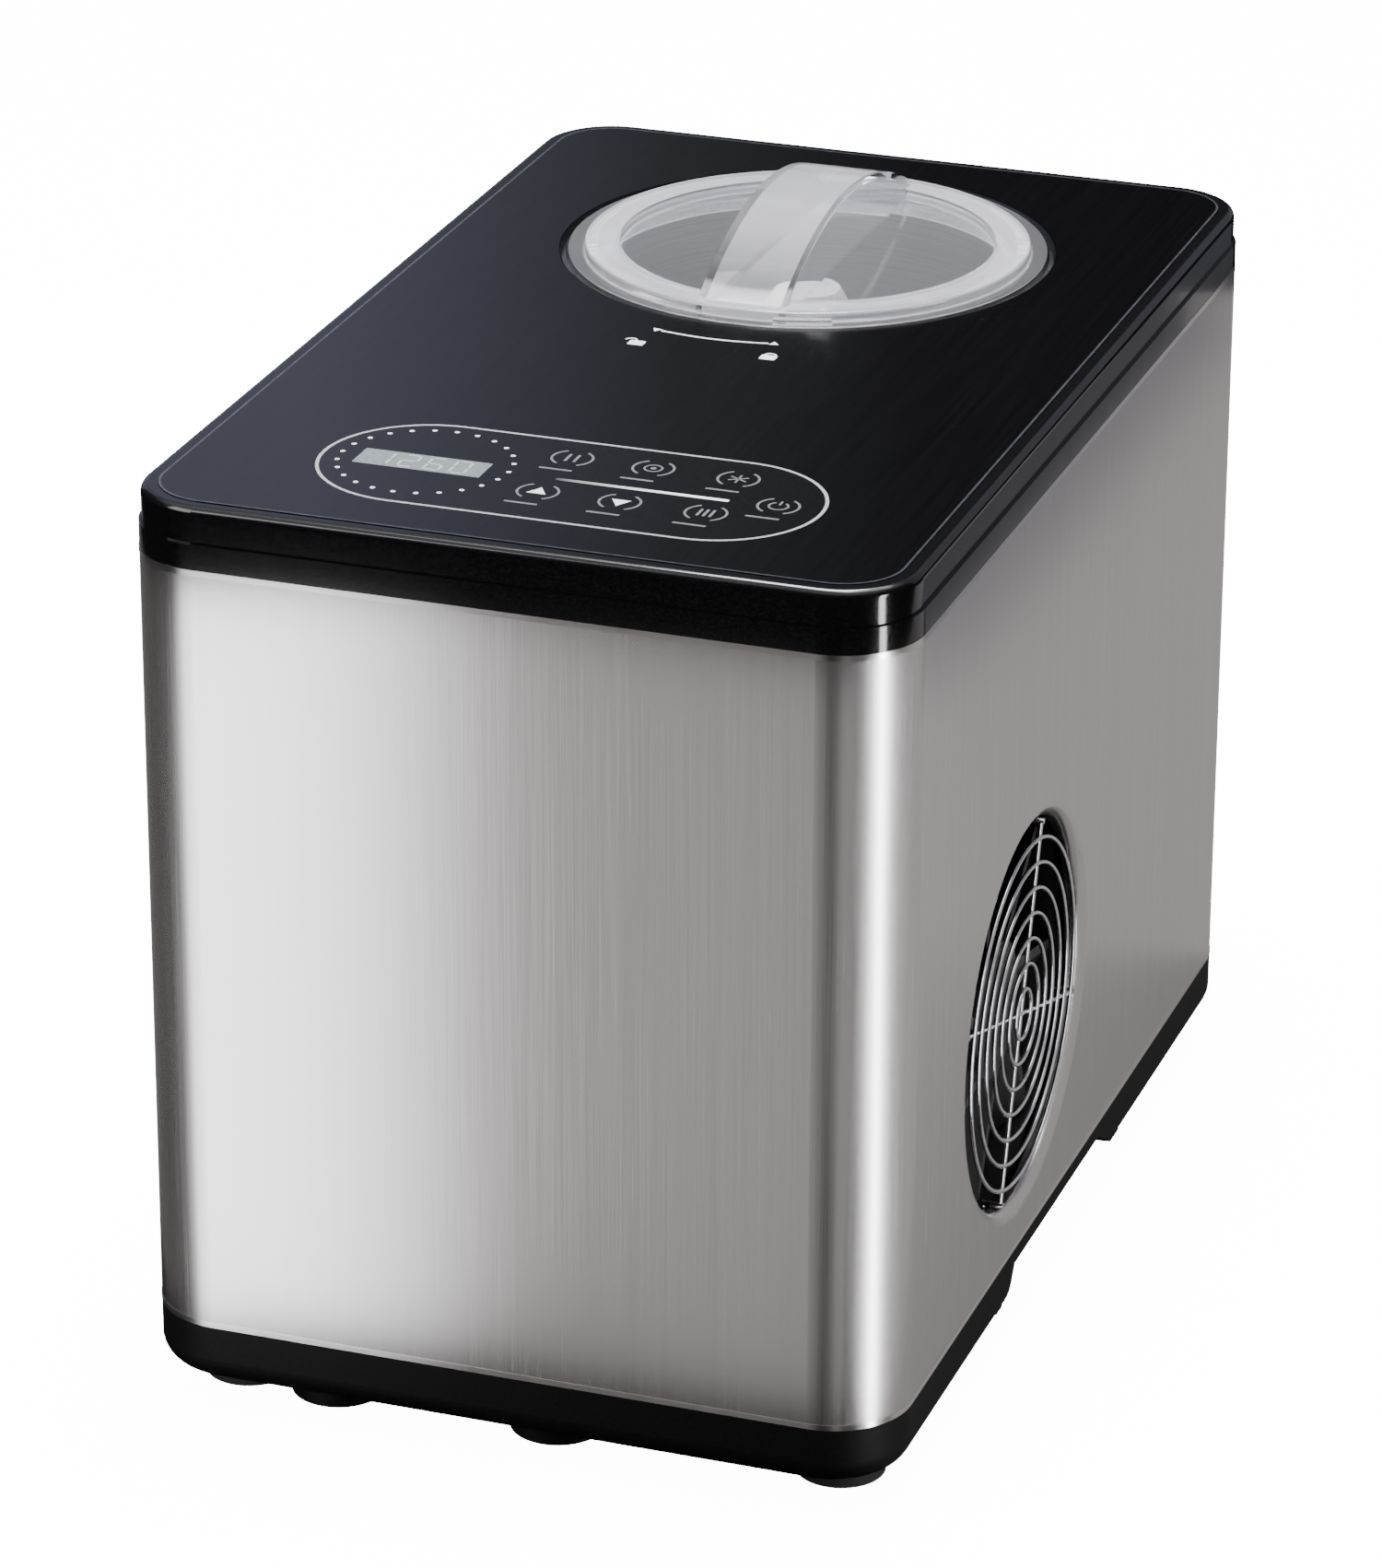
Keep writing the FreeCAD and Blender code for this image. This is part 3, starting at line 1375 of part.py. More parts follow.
def make_guard():
    """Wire guard: rings on a turned cross, whose ends step back on legs to the fan frame."""
    wire = d.guard_wire
    rings_x = half_width - d.guard_sink
    bars_x = rings_x - wire * WELD_DEPTH
    reach = d.fan_opening - 1.5
    leg_low = fan_face() + wire * 0.3
    leg_long = bars_x + wire * 1.3 - leg_low
    parts = []
    for i in range(1, GUARD_RINGS + 1):
        name = "guard_ring_%d" % i
        parts.append(torus(name, guard_pitch * i, wire, rings_x, fan_y, d.fan_height, ALONG_X))
    for i in range(4):
        turn = FreeCAD.Rotation(FreeCAD.Vector(1, 0, 0), GUARD_TURN + 90 * i)
        out = turn.multVec(FreeCAD.Vector(0, 0, 1))
        y = fan_y + reach * out.y
        z = d.fan_height + reach * out.z
        if i < 2:
            far_y = fan_y - reach * out.y
            far_z = d.fan_height - reach * out.z
            parts.append(cylinder("guard_bar_%d" % (i + 1), wire, reach * 2, bars_x, far_y, far_z, turn))
        parts.append(cylinder("guard_leg_%d" % (i + 1), wire * 1.35, leg_long, leg_low, y, z, ALONG_X))
        parts.append(cylinder("guard_foot_%d" % (i + 1), wire, 4.3, fan_face() + wire, y, z, turn))
    return node("fan_guard", fuse("guard_whole", parts))


def make_fan():
    """Axial fan: a square frame with a motor hub on four struts, and the bladed rotor."""
    face = fan_face()
    back = face - d.fan_thick
    half = fan_size / 2
    hole = fan_hole_pitch / 2
    body = new_body("fan_frame_body", 0, fan_y, d.fan_height)
    square = rounded(sketch(body, "YZ_Plane", back), -half, half, -half, half, 5)
    pad(body, square, d.fan_thick)
    cuts = circle(sketch(body, "YZ_Plane", face), d.fan_opening)
    for y in (-hole, hole):
        for z in (-hole, hole):
            circle(cuts, 2.2, y, z)
    pocket(body, cuts, d.fan_thick + 1)
    struts = sketch(body, "YZ_Plane", back)
    reach = d.fan_opening + 1
    polygon(struts, [(-reach, -2), (reach, -2), (reach, 2), (-reach, 2)])
    pad(body, struts, 3)
    uprights = sketch(body, "YZ_Plane", back)
    polygon(uprights, [(-2, -reach), (2, -reach), (2, reach), (-2, reach)])
    pad(body, uprights, 3)
    pad(body, circle(sketch(body, "YZ_Plane", back), 20), 6)
    pad(body, circle(sketch(body, "YZ_Plane", back), d.fan_pin_radius), d.fan_thick - 4)
    node("fan_frame", body)
    hub_low = back + 7
    hub = cylinder("rotor_hub", 20.5, d.fan_thick - 8.5, hub_low, fan_y, d.fan_height, ALONG_X)
    blades = [hub]
    inner = 15
    span = d.fan_opening - 1.5 - inner
    for i in range(FAN_BLADES):
        turn = FreeCAD.Rotation(FreeCAD.Vector(1, 0, 0), 360.0 * i / FAN_BLADES)
        pitch = FreeCAD.Rotation(FreeCAD.Vector(0, 0, 1), -52)
        middle = hub_low + d.fan_thick / 2 - 4
        blades.append(fan_blade("blade_%d" % (i + 1), inner, span, turn, pitch, middle))
    whole = fuse("rotor_blades", blades)
    reach = d.fan_opening - 1.5
    long = d.fan_thick - 8.5
    envelope = cylinder("rotor_envelope", reach, long, hub_low, fan_y, d.fan_height, ALONG_X)
    rotor = common("rotor_trimmed", [whole, envelope])
    pin_bore = d.fan_pin_radius + d.fit_gap
    bore = cylinder("rotor_bore", pin_bore, d.fan_thick - 6, hub_low - 4, fan_y, d.fan_height, ALONG_X)
    return node("fan_rotor", cut("rotor_bored", rotor, bore))


def fan_blade(name, inner, span, turn, pitch, middle):
    """A flat blade standing out from the hub, set at its pitch and turned to its place."""
    chord = 34.0
    thick = 1.8
    corner = turn.multVec(pitch.multVec(FreeCAD.Vector(-chord / 2, -thick / 2, 0)))
    out = turn.multVec(FreeCAD.Vector(0, 0, 1))
    blade = doc.addObject("Part::Box", name)
    bind(blade, "Length", chord)
    bind(blade, "Width", thick)
    bind(blade, "Height", span)
    rotation = turn.multiply(pitch)
    return put(blade, middle + corner.x, fan_y + corner.y + out.y * inner,
               d.fan_height + corner.z + out.z * inner, rotation)


def make_shroud():
    """Square duct between the condenser and the fan, standing on the tray."""
    back = fan_face() - d.fan_thick
    low = back - d.shroud_depth
    half = fan_size / 2
    hole = fan_hole_pitch / 2
    body = new_body("fan_shroud_body", 0, fan_y, d.fan_height)
    frame = sketch(body, "YZ_Plane", low)
    polygon(frame, [(-half, -half), (half, -half), (half, half), (-half, half)])
    circle(frame, d.fan_opening)
    pad(body, frame, d.shroud_depth)
    feet = sketch(body, "YZ_Plane", low)
    ground = floor_z - d.fan_height
    foot = 18
    for y in (-half, half - foot):
        polygon(feet, [(y, ground), (y + foot, ground), (y + foot, -half), (y, -half)])
    pad(body, feet, d.shroud_depth)
    pilots = sketch(body, "YZ_Plane", back)
    for y in (-hole, hole):
        for z in (-hole, hole):
            circle(pilots, 1.9, y, z)
    pocket(body, pilots, 10)
    node("fan_shroud", body)
    screws = []
    for y in (-hole, hole):
        for z in (-hole, hole):
            name = "fan_screw_%d" % (len(screws) + 1)
            shank_way = FreeCAD.Rotation(FreeCAD.Vector(0, 1, 0), -90)
            place = (fan_face(), fan_y + y, d.fan_height + z)
            screws.append(screw(name, 3.6, 1.6, 1.85, d.fan_thick + 8, *place, shank_way))
    return node("fan_screws", group("screws_of_fan", screws))


def condenser_x():
    """Middle of the condenser, beside the shroud."""
    return fan_face() - d.fan_thick - d.shroud_depth - d.condenser_thick / 2 - 1


def condenser_y():
    """The condenser stands a little in front of the fan's axis, clear of the foam."""
    return fan_y - 9


def condenser_levels():
    base = d.fan_height - d.condenser_step * (CONDENSER_RUNS - 1) / 2
    return [base + d.condenser_step * i for i in range(CONDENSER_RUNS)]


def condenser_end():
    """Half the length of the condenser's straight tubes."""
    return d.fin_pitch * (FIN_COUNT - 1) / 2 + 3


def make_condenser():
    """Condenser: a serpentine tube through pressed fins, held by two end plates."""
    x = condenser_x()
    middle_y = condenser_y()
    reach = condenser_end()
    step = d.condenser_step
    runs = []
    low = middle_y - reach - 3
    for i, level in enumerate(condenser_levels()):
        extra = 6 if i in (0, CONDENSER_RUNS - 1) else 0
        name = "condenser_run_%d" % (i + 1)
        long = reach * 2 + 6 + extra
        runs.append(cylinder(name, d.condenser_tube, long, x, low - extra, level, ALONG_Y))
    for i, level in enumerate(condenser_levels()[:-1]):
        bend = doc.addObject("Part::Torus", "condenser_bend_%d" % (i + 1))
        bind(bend, "Radius1", step / 2)
        bind(bend, "Radius2", d.condenser_tube)
        bend.Angle3 = 180
        far = i % 2 == 0
        turn = FreeCAD.Rotation(FreeCAD.Vector(0, 1, 0), 90)
        flip = FreeCAD.Rotation(FreeCAD.Vector(1, 0, 0), 0 if far else 180)
        put(bend, x, middle_y + reach + 3 if far else low, level + step / 2, flip.multiply(turn))
        runs.append(bend)
    node("condenser_coil", fuse("condenser_tube_whole", runs))
    half = d.condenser_thick / 2
    low_z = condenser_levels()[0] - step / 2
    high_z = condenser_levels()[-1] + step / 2
    fins = []
    for i in range(FIN_COUNT):
        y = middle_y + d.fin_pitch * (i - (FIN_COUNT - 1) / 2)
        fins.append(box("fin_%d" % (i + 1), (x - half, y, low_z), (x + half, y + d.fin_thick, high_z)))
    hole = d.condenser_tube + d.fit_gap
    holes = []
    for i, level in enumerate(condenser_levels()):
        name = "fin_hole_%d" % (i + 1)
        holes.append(cylinder(name, hole, reach * 2 + 20, x, middle_y - reach - 10, level, ALONG_Y))
    node("condenser_fins", cut("fins_cut", group("fin_stack", fins), group("fin_holes", holes)))
    plates = []
    for side in (-1, 1):
        y = middle_y + side * reach
        name = "front" if side < 0 else "rear"
        parts = [
            box(name + "_end_plate", (x - half, y - 0.6, floor_z), (x + half, y + 0.6, high_z)),
            box(name + "_end_foot", (x - half, y - 6, floor_z), (x + half, y + 6, floor_z + 1.2)),
        ]
        plates.append(fuse(name + "_end_whole", parts))
    end_holes = []
    for i, level in enumerate(condenser_levels()):
        name = "end_hole_%d" % (i + 1)
        end_holes.append(cylinder(name, hole, reach * 2 + 20, x, middle_y - reach - 10, level, ALONG_Y))
    node("condenser_ends", cut("ends_cut", group("end_pair", plates), group("end_holes", end_holes)))


def make_pipes():
    """The refrigerant circuit between compressor, condenser, drier and evaporator."""
    (out_x, out_y), (in_x, in_y) = pipe_stub_places()
    stub_top = compressor_low() + d.compressor_height + 8
    x = condenser_x()
    lead_front = condenser_y() - condenser_end() - 9
    run_y = lead_front - 18
    radius = d.pipe_radius
    top_run = condenser_levels()[-1]
    low_run = condenser_levels()[0]
    over = stub_top + 18
    pipe("discharge_pipe", radius, 8, (out_x, out_y, stub_top), (out_x, out_y, over), (x, run_y, over),
         (x, run_y, top_run), (x, lead_front, top_run))
    drier_x = x - 20
    drier_y = run_y - 12
    drier_low = low_run + 12
    pipe("liquid_pipe", radius, 5.5, (x, lead_front, low_run), (x, drier_y, low_run),
         (drier_x, drier_y, low_run), (drier_x, drier_y, drier_low))
    drier = [
        (0, 0), (radius, 0), (radius, 4), (8.5, 10), (8.5, 50), (2.5, 58), (2.5, 60), (0, 60),
    ]
    node("filter_drier", turned("drier_body", drier, drier_x, drier_y, drier_low))
    coil_x = coil_radius()
    lead_y = coil_lead_y()
    level = drier_low + 130
    pipe("capillary_tube", 1.2, 6, (drier_x, drier_y, drier_low + 60), (drier_x, drier_y, level),
         (drier_x, lead_y - 25, level), (coil_x, lead_y - 25, level), (coil_x, lead_y - 25, coil_low()),
         (coil_x, lead_y, coil_low()))
    high = coil_low() + d.coil_pitch * d.coil_turns
    pipe("suction_pipe", d.coil_tube, 9, (-coil_x, lead_y, high), (-coil_x, in_y, high), (in_x, in_y, high),
         (in_x, in_y, stub_top))


def make_power_board():
    """Supply board on four standoffs at the rear left, with relay, choke and capacitor."""
    x = -half_width + 8
    y = bowl_y - 13
    level = floor_z + 8
    parts = [
        box("power_card", (x, y, level), (x + 38, y + 80, level + 1.6)),
        box("power_relay", (x + 4, y + 6, level + 1.6), (x + 20, y + 26, level + 18)),
        box("power_choke", (x + 6, y + 34, level + 1.6), (x + 28, y + 58, level + 22)),
        cylinder("power_capacitor", 7.5, 26, x + 27, y + 69, level + 1.6),
        cylinder("small_capacitor", 4.5, 14, x + 30, y + 16, level + 1.6),
    ]
    node("power_board", fuse("power_whole", parts))
    posts = []
    for px in (x + 4, x + 34):
        for py in (y + 3, y + 77):
            posts.append(cylinder("standoff_%d" % (len(posts) + 1), 2.5, 8, px, py, floor_z))
    node("board_standoffs", group("standoffs", posts))


make_base()
make_feet()
make_shell()
make_rear_panel()
make_rear_screws()
make_gland()
make_cap()
make_panel()
make_display()
make_board()
make_seat()
make_lid()
make_bowl()
make_paddle()
make_well()
make_coil()
make_foam()
make_bridge()
make_case()
make_gears()
make_motor()
make_shaft()
make_case_screws()
make_compressor()
make_guard()
make_fan()
make_shroud()
make_condenser()
make_pipes()
make_power_board()
doc.recompute()

for thing in doc.Objects:
    if "Invalid" in thing.State or "Error" in thing.State:
        raise RuntimeError("%s (%s) failed: %s" % (thing.Name, thing.Label, thing.State))
for thing in nodes:
    if thing.Shape.isNull() or not thing.Shape.isValid():
        raise RuntimeError("%s has no valid shape" % thing.Label)

os.makedirs("parts", exist_ok=True)
for thing in nodes:
    thing.Shape.exportStep(os.path.join("parts", thing.Label + ".step"))
    print("%-22s %2d solids %12.1f mm3" % (thing.Label, len(thing.Shape.Solids), thing.Shape.Volume))
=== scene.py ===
import math

import bpy
from mathutils import Matrix, Vector


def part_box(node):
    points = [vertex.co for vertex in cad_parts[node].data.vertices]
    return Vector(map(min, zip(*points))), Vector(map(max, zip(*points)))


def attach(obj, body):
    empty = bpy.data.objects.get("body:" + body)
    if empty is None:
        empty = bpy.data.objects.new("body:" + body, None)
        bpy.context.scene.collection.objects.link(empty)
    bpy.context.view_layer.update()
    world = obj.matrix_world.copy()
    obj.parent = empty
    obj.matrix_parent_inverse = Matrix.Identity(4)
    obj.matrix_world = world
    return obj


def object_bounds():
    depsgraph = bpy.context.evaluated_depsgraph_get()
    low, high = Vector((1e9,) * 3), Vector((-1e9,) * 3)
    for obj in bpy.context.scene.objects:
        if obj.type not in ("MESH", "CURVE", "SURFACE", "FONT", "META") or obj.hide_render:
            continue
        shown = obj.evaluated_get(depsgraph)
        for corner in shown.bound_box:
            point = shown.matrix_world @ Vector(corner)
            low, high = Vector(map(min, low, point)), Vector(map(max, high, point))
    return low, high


# Countertop ice cream maker: finishes, printed marks, light and camera.
# Lengths are in metres.  +X is the machine's right side, -Y its front and +Z is up.

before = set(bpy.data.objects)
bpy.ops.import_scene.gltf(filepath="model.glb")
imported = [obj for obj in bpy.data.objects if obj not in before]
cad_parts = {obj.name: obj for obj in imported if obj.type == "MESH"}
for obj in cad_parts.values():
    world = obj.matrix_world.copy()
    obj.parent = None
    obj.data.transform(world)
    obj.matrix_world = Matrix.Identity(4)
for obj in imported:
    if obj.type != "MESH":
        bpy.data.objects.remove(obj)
cad_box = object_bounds()

MM = 0.001
body_low, body_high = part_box("steel_shell")
plate_low, plate_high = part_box("top_panel")
cap_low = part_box("top_cap")[0]
bowl_low, bowl_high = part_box("bowl")
bowl_y = (bowl_low.y + bowl_high.y) / 2
plate_z = plate_high.z


# ---- nodes ----------------------------------------------------------------------------------


def linear(hexes):
    """An sRGB colour written #rrggbb, as linear red, green, blue and alpha."""
    parts = [int(hexes[i:i + 2], 16) / 255 for i in (1, 3, 5)]
    return [p / 12.92 if p <= 0.04045 else ((p + 0.055) / 1.055) ** 2.4 for p in parts] + [1.0]


def add(tree, kind, inputs=None, **settings):
    """A node with its settings; an input is a link if it is given a socket, and else a value."""
    node = tree.nodes.new(kind)
    for name, value in settings.items():
        setattr(node, name, value)
    for name, value in (inputs or {}).items():
        if isinstance(value, bpy.types.NodeSocket):
            tree.links.new(value, node.inputs[name])
        else:
            node.inputs[name].default_value = value
    return node


def stops(ramp, *places):
    """Sets a colour ramp's stops, each a position and a hex colour."""
    elements = ramp.color_ramp.elements
    while len(elements) < len(places):
        elements.new(0.5)
    for element, (position, colour) in zip(elements, places):
        element.position = position
        element.color = linear(colour)


def begin(name, colour, rough, metal=0.0, sockets=None):
    """A new material of one finish: its node tree, its shader, and the piece's own coordinates."""
    material = bpy.data.materials.new(name)
    material.use_nodes = True
    tree = material.node_tree
    tree.nodes.clear()
    values = {"Base Color": linear(colour), "Roughness": rough, "Metallic": metal}
    values.update(sockets or {})
    shader = add(tree, "ShaderNodeBsdfPrincipled", values)
    add(tree, "ShaderNodeOutputMaterial", {"Surface": shader.outputs["BSDF"]})
    where = add(tree, "ShaderNodeTexCoord").outputs["Object"]
    return material, tree, shader, where


def roughen(tree, shader, pattern, low, high):
    """Roughness that follows a pattern between two values."""
    spread = add(tree, "ShaderNodeMapRange", {"Value": pattern, "To Min": low, "To Max": high})
    tree.links.new(spread.outputs["Result"], shader.inputs["Roughness"])


def tint(tree, shader, pattern, low, high, start=0.3, end=0.7):
    """Colour that follows a pattern between two hex colours."""
    ramp = add(tree, "ShaderNodeValToRGB", {"Fac": pattern})
    stops(ramp, (start, low), (end, high))
    tree.links.new(ramp.outputs["Color"], shader.inputs["Base Color"])


def emboss(tree, shader, pattern, strength, depth):
    """Surface relief that follows a pattern."""
    bump = add(tree, "ShaderNodeBump", {"Height": pattern, "Strength": strength, "Distance": depth})
    tree.links.new(bump.outputs["Normal"], shader.inputs["Normal"])


# ---- finishes -------------------------------------------------------------------------------

# Where the lid turns milky: its raised ring, between two edges at these distances from its axis.
# The handle's upward faces, between these heights over the plate, carry a painted sheen of the same milk.
# The flange keeps a share of the ring's milk.
RING_INNER = (0.0555, 0.0575)
RING_OUTER = (0.0664, 0.0672)
HANDLE_RISE = (0.0035, 0.016)
RING_MILK = 0.26
HANDLE_TOP_SHEEN = 0.16
FLANGE_SHARE = 0.35


def brushed_stainless():
    """Stainless sheet with an upright brushed grain: light streaks, blurred highlights across it."""
    material, tree, shader, where = begin("brushed_stainless", "#cccaca", 0.3, 1.0, {"Anisotropic": 0.6})
    tangent = add(tree, "ShaderNodeTangent", direction_type="RADIAL", axis="Z")
    tree.links.new(tangent.outputs["Tangent"], shader.inputs["Tangent"])
    # The grain is under 0.1 mm wide; it is drawn about 0.4 mm wide so that it shows.
    upright = add(tree, "ShaderNodeMapping", {"Vector": where, "Scale": (1, 1, 0.006)}).outputs["Vector"]
    grain = add(tree, "ShaderNodeTexNoise", {"Vector": upright, "Scale": 2600, "Detail": 3})
    broad = add(tree, "ShaderNodeTexNoise", {"Vector": upright, "Scale": 300, "Detail": 2})
    both = add(tree, "ShaderNodeMix", {"Factor": 0.3, "A": grain.outputs["Fac"], "B": broad.outputs["Fac"]})
    tint(tree, shader, both.outputs["Result"], "#c8c6c6", "#d2d0d0")
    roughen(tree, shader, grain.outputs["Fac"], 0.2, 0.3)
    emboss(tree, shader, grain.outputs["Fac"], 0.04, 0.00003)
    return material


def hemmed_stainless():
    """The sheet's folded edge: smoother than the face, and a lighter colour that is a painted highlight along
    the fold.
    """
    material, tree, shader, where = begin("hemmed_stainless", "#d9d8d6", 0.2, 1.0)
    wear = add(tree, "ShaderNodeTexNoise", {"Vector": where, "Scale": 90, "Detail": 3})
    roughen(tree, shader, wear.outputs["Fac"], 0.15, 0.28)
    emboss(tree, shader, wear.outputs["Fac"], 0.05, 0.0001)
    return material


def gloss_black_abs():
    """High gloss black ABS: mirror-like, with a slow waviness from the mould and fine dust."""
    material, tree, shader, where = begin(
        "gloss_black_abs", "#0c0c0e", 0.12, 0.0, {"IOR": 1.53, "Coat Weight": 0.25, "Coat Roughness": 0.05})
    wave = add(tree, "ShaderNodeTexNoise", {"Vector": where, "Scale": 60, "Detail": 1})
    dust = add(tree, "ShaderNodeTexNoise", {"Vector": where, "Scale": 1600, "Detail": 2})
    tint(tree, shader, dust.outputs["Fac"], "#09090b", "#141417", 0.45, 0.8)
    roughen(tree, shader, dust.outputs["Fac"], 0.08, 0.19)
    emboss(tree, shader, wave.outputs["Fac"], 0.05, 0.0004)
    return material


def panel_acrylic():
    """Clear acrylic printed black on its back: deep, slightly blue, with hairline wipe marks."""
    material, tree, shader, where = begin(
        "panel_acrylic", "#050506", 0.1, 0.0, {"IOR": 1.49, "Coat Weight": 0.4, "Coat Roughness": 0.04})
    turned = add(tree, "ShaderNodeMapping", {"Vector": where, "Rotation": (0, 0, 0.5), "Scale": (1, 0.02, 1)})
    wipes = add(tree, "ShaderNodeTexNoise", {"Vector": turned.outputs["Vector"], "Scale": 900, "Detail": 4})
    tint(tree, shader, wipes.outputs["Fac"], "#040405", "#08080a", 0.35, 0.8)
    roughen(tree, shader, wipes.outputs["Fac"], 0.07, 0.18)
    return material


def matte_black_abs():
    """Spark-textured black ABS: a fine even grain that breaks up every reflection."""
    material, tree, shader, where = begin(
        "matte_black_abs", "#040404", 0.55, 0.0, {"IOR": 1.45, "Specular IOR Level": 0.15})
    grain = add(tree, "ShaderNodeTexNoise", {"Vector": where, "Scale": 1400, "Detail": 4, "Roughness": 0.7})
    tint(tree, shader, grain.outputs["Fac"], "#030303", "#060606")
    roughen(tree, shader, grain.outputs["Fac"], 0.45, 0.68)
    emboss(tree, shader, grain.outputs["Fac"], 0.25, 0.0002)
    return material


def moulded_rubber():
    """Black rubber: dull, with a bloom of fine dust."""
    material, tree, shader, where = begin("moulded_rubber", "#131313", 0.8)
    bloom = add(tree, "ShaderNodeTexNoise", {"Vector": where, "Scale": 350, "Detail": 5})
    tint(tree, shader, bloom.outputs["Fac"], "#070707", "#121211")
    roughen(tree, shader, bloom.outputs["Fac"], 0.7, 0.92)
    emboss(tree, shader, bloom.outputs["Fac"], 0.15, 0.0002)
    return material


def reach_from_bowl(tree, where):
    """Distance from the bowl's upright axis, and the separate coordinates about it."""
    centred = add(tree, "ShaderNodeMapping", {"Vector": where, "Location": (0, -bowl_y, 0)})
    parts = add(tree, "ShaderNodeSeparateXYZ", {"Vector": centred.outputs["Vector"]})
    flat = add(tree, "ShaderNodeCombineXYZ", {"X": parts.outputs["X"], "Y": parts.outputs["Y"]})
    reach = add(tree, "ShaderNodeVectorMath", {"Vector": flat.outputs["Vector"]}, operation="LENGTH")
    return reach.outputs["Value"], parts


def clear_acrylic():
    """Clear moulded plastic: the disc is see-through; the thick ring is milky, and the handle's upward faces
    carry a painted sheen.
    """
    material, tree, shader, where = begin(
        "clear_acrylic", "#e4e4ea", 0.03, 0.0, {"IOR": 1.49, "Transmission Weight": 1.0})
    reach, parts = reach_from_bowl(tree, where)
    ring = add(tree, "ShaderNodeMapRange", {
        "Value": reach, "From Min": RING_INNER[0], "From Max": RING_INNER[1], "To Max": RING_MILK})
    inside = add(tree, "ShaderNodeMapRange", {
        "Value": reach, "From Min": RING_OUTER[0], "From Max": RING_OUTER[1],
        "To Min": 1.0, "To Max": FLANGE_SHARE})
    band = add(tree, "ShaderNodeMath", {
        0: ring.outputs["Result"], 1: inside.outputs["Result"]}, operation="MULTIPLY")
    raised = add(tree, "ShaderNodeMapRange", {
        "Value": parts.outputs["Z"], "From Min": plate_z + HANDLE_RISE[0],
        "From Max": plate_z + HANDLE_RISE[1], "To Max": HANDLE_TOP_SHEEN})
    # Painted sheen: the handle's upward-facing faces turn milky as if catching light from above, while its
    # sides stay nearly clear.
    surface = add(tree, "ShaderNodeNewGeometry")
    facing = add(tree, "ShaderNodeSeparateXYZ", {"Vector": surface.outputs["Normal"]})
    upward_sheen_share = add(tree, "ShaderNodeMapRange", {
        "Value": facing.outputs["Z"], "From Min": 0.5, "From Max": 0.8, "To Min": 0.15})
    handle_top_sheen = add(tree, "ShaderNodeMath", {
        0: raised.outputs["Result"], 1: upward_sheen_share.outputs["Result"]}, operation="MULTIPLY")
    milk_and_top_sheen = add(tree, "ShaderNodeMath", {
        0: band.outputs["Value"], 1: handle_top_sheen.outputs["Value"]}, operation="MAXIMUM")
    cloud = add(tree, "ShaderNodeTexNoise", {"Vector": where, "Scale": 45, "Detail": 3})
    uneven = add(tree, "ShaderNodeMapRange", {"Value": cloud.outputs["Fac"], "To Min": 0.8, "To Max": 1.15})
    haze_and_top_sheen = add(tree, "ShaderNodeMath", {
        0: milk_and_top_sheen.outputs["Value"], 1: uneven.outputs["Result"]}, operation="MULTIPLY")
    clear_part = add(tree, "ShaderNodeMath", {0: 1.0, 1: haze_and_top_sheen.outputs["Value"]}, operation="SUBTRACT")
    tree.links.new(clear_part.outputs["Value"], shader.inputs["Transmission Weight"])
    roughen(tree, shader, haze_and_top_sheen.outputs["Value"], 0.02, 0.3)
    emboss(tree, shader, cloud.outputs["Fac"], 0.03, 0.0003)
    return material


def display_lens():
    """Grey liquid crystal window: a flat lens over a reflective back."""
    material, tree, shader, where = begin(
        "display_lens", "#6f7678", 0.16, 0.0, {"IOR": 1.5, "Coat Weight": 0.4})
    cells = add(tree, "ShaderNodeTexNoise", {"Vector": where, "Scale": 2200, "Detail": 1})
    tint(tree, shader, cells.outputs["Fac"], "#666d6f", "#7d8487")
    return material


def printed_ink():
    """White screen-printing ink: opaque, faintly uneven, a little duller than the plate."""
    material, tree, shader, where = begin("printed_ink", "#c9cacd", 0.42)
    film = add(tree, "ShaderNodeTexNoise", {"Vector": where, "Scale": 900, "Detail": 3})
    tint(tree, shader, film.outputs["Fac"], "#d0d1d4", "#f0f0f2")
    return material


def display_segments():
    """Cleared liquid crystal: the pale back shows through, flat and even."""
    material, tree, shader, where = begin("display_segments", "#9da3a5", 0.3)
    cells = add(tree, "ShaderNodeTexNoise", {"Vector": where, "Scale": 2200, "Detail": 1})
    tint(tree, shader, cells.outputs["Fac"], "#969c9e", "#abb1b3")
    return material


def fading_print():
    """White ink laid in a fine halftone that thins out to the left."""
    material, tree, shader, where = begin("fading_print", "#c9cacd", 0.42)
    parts = add(tree, "ShaderNodeSeparateXYZ", {"Vector": where})
    share = add(tree, "ShaderNodeMapRange", {
        "Value": parts.outputs["X"], "From Min": -0.004, "From Max": 0.034})
    tint(tree, shader, share.outputs["Result"], "#26262a", "#f4f4f6", 0.0, 1.0)
    return material


def spun_aluminium():
    """Anodised spun aluminium: fine rings round the axis and a satin sheen."""
    material, tree, shader, where = begin("spun_aluminium", "#c6c7c8", 0.42, 0.6)
    reach, parts = reach_from_bowl(tree, where)
    ring = add(tree, "ShaderNodeCombineXYZ", {"X": reach, "Z": parts.outputs["Z"]})
    grain = add(tree, "ShaderNodeTexNoise", {"Vector": ring.outputs["Vector"], "Scale": 1500, "Detail": 3})
    tint(tree, shader, grain.outputs["Fac"], "#bcbdbe", "#d2d2d2")
    roughen(tree, shader, grain.outputs["Fac"], 0.34, 0.5)
    emboss(tree, shader, grain.outputs["Fac"], 0.1, 0.00005)
    return material


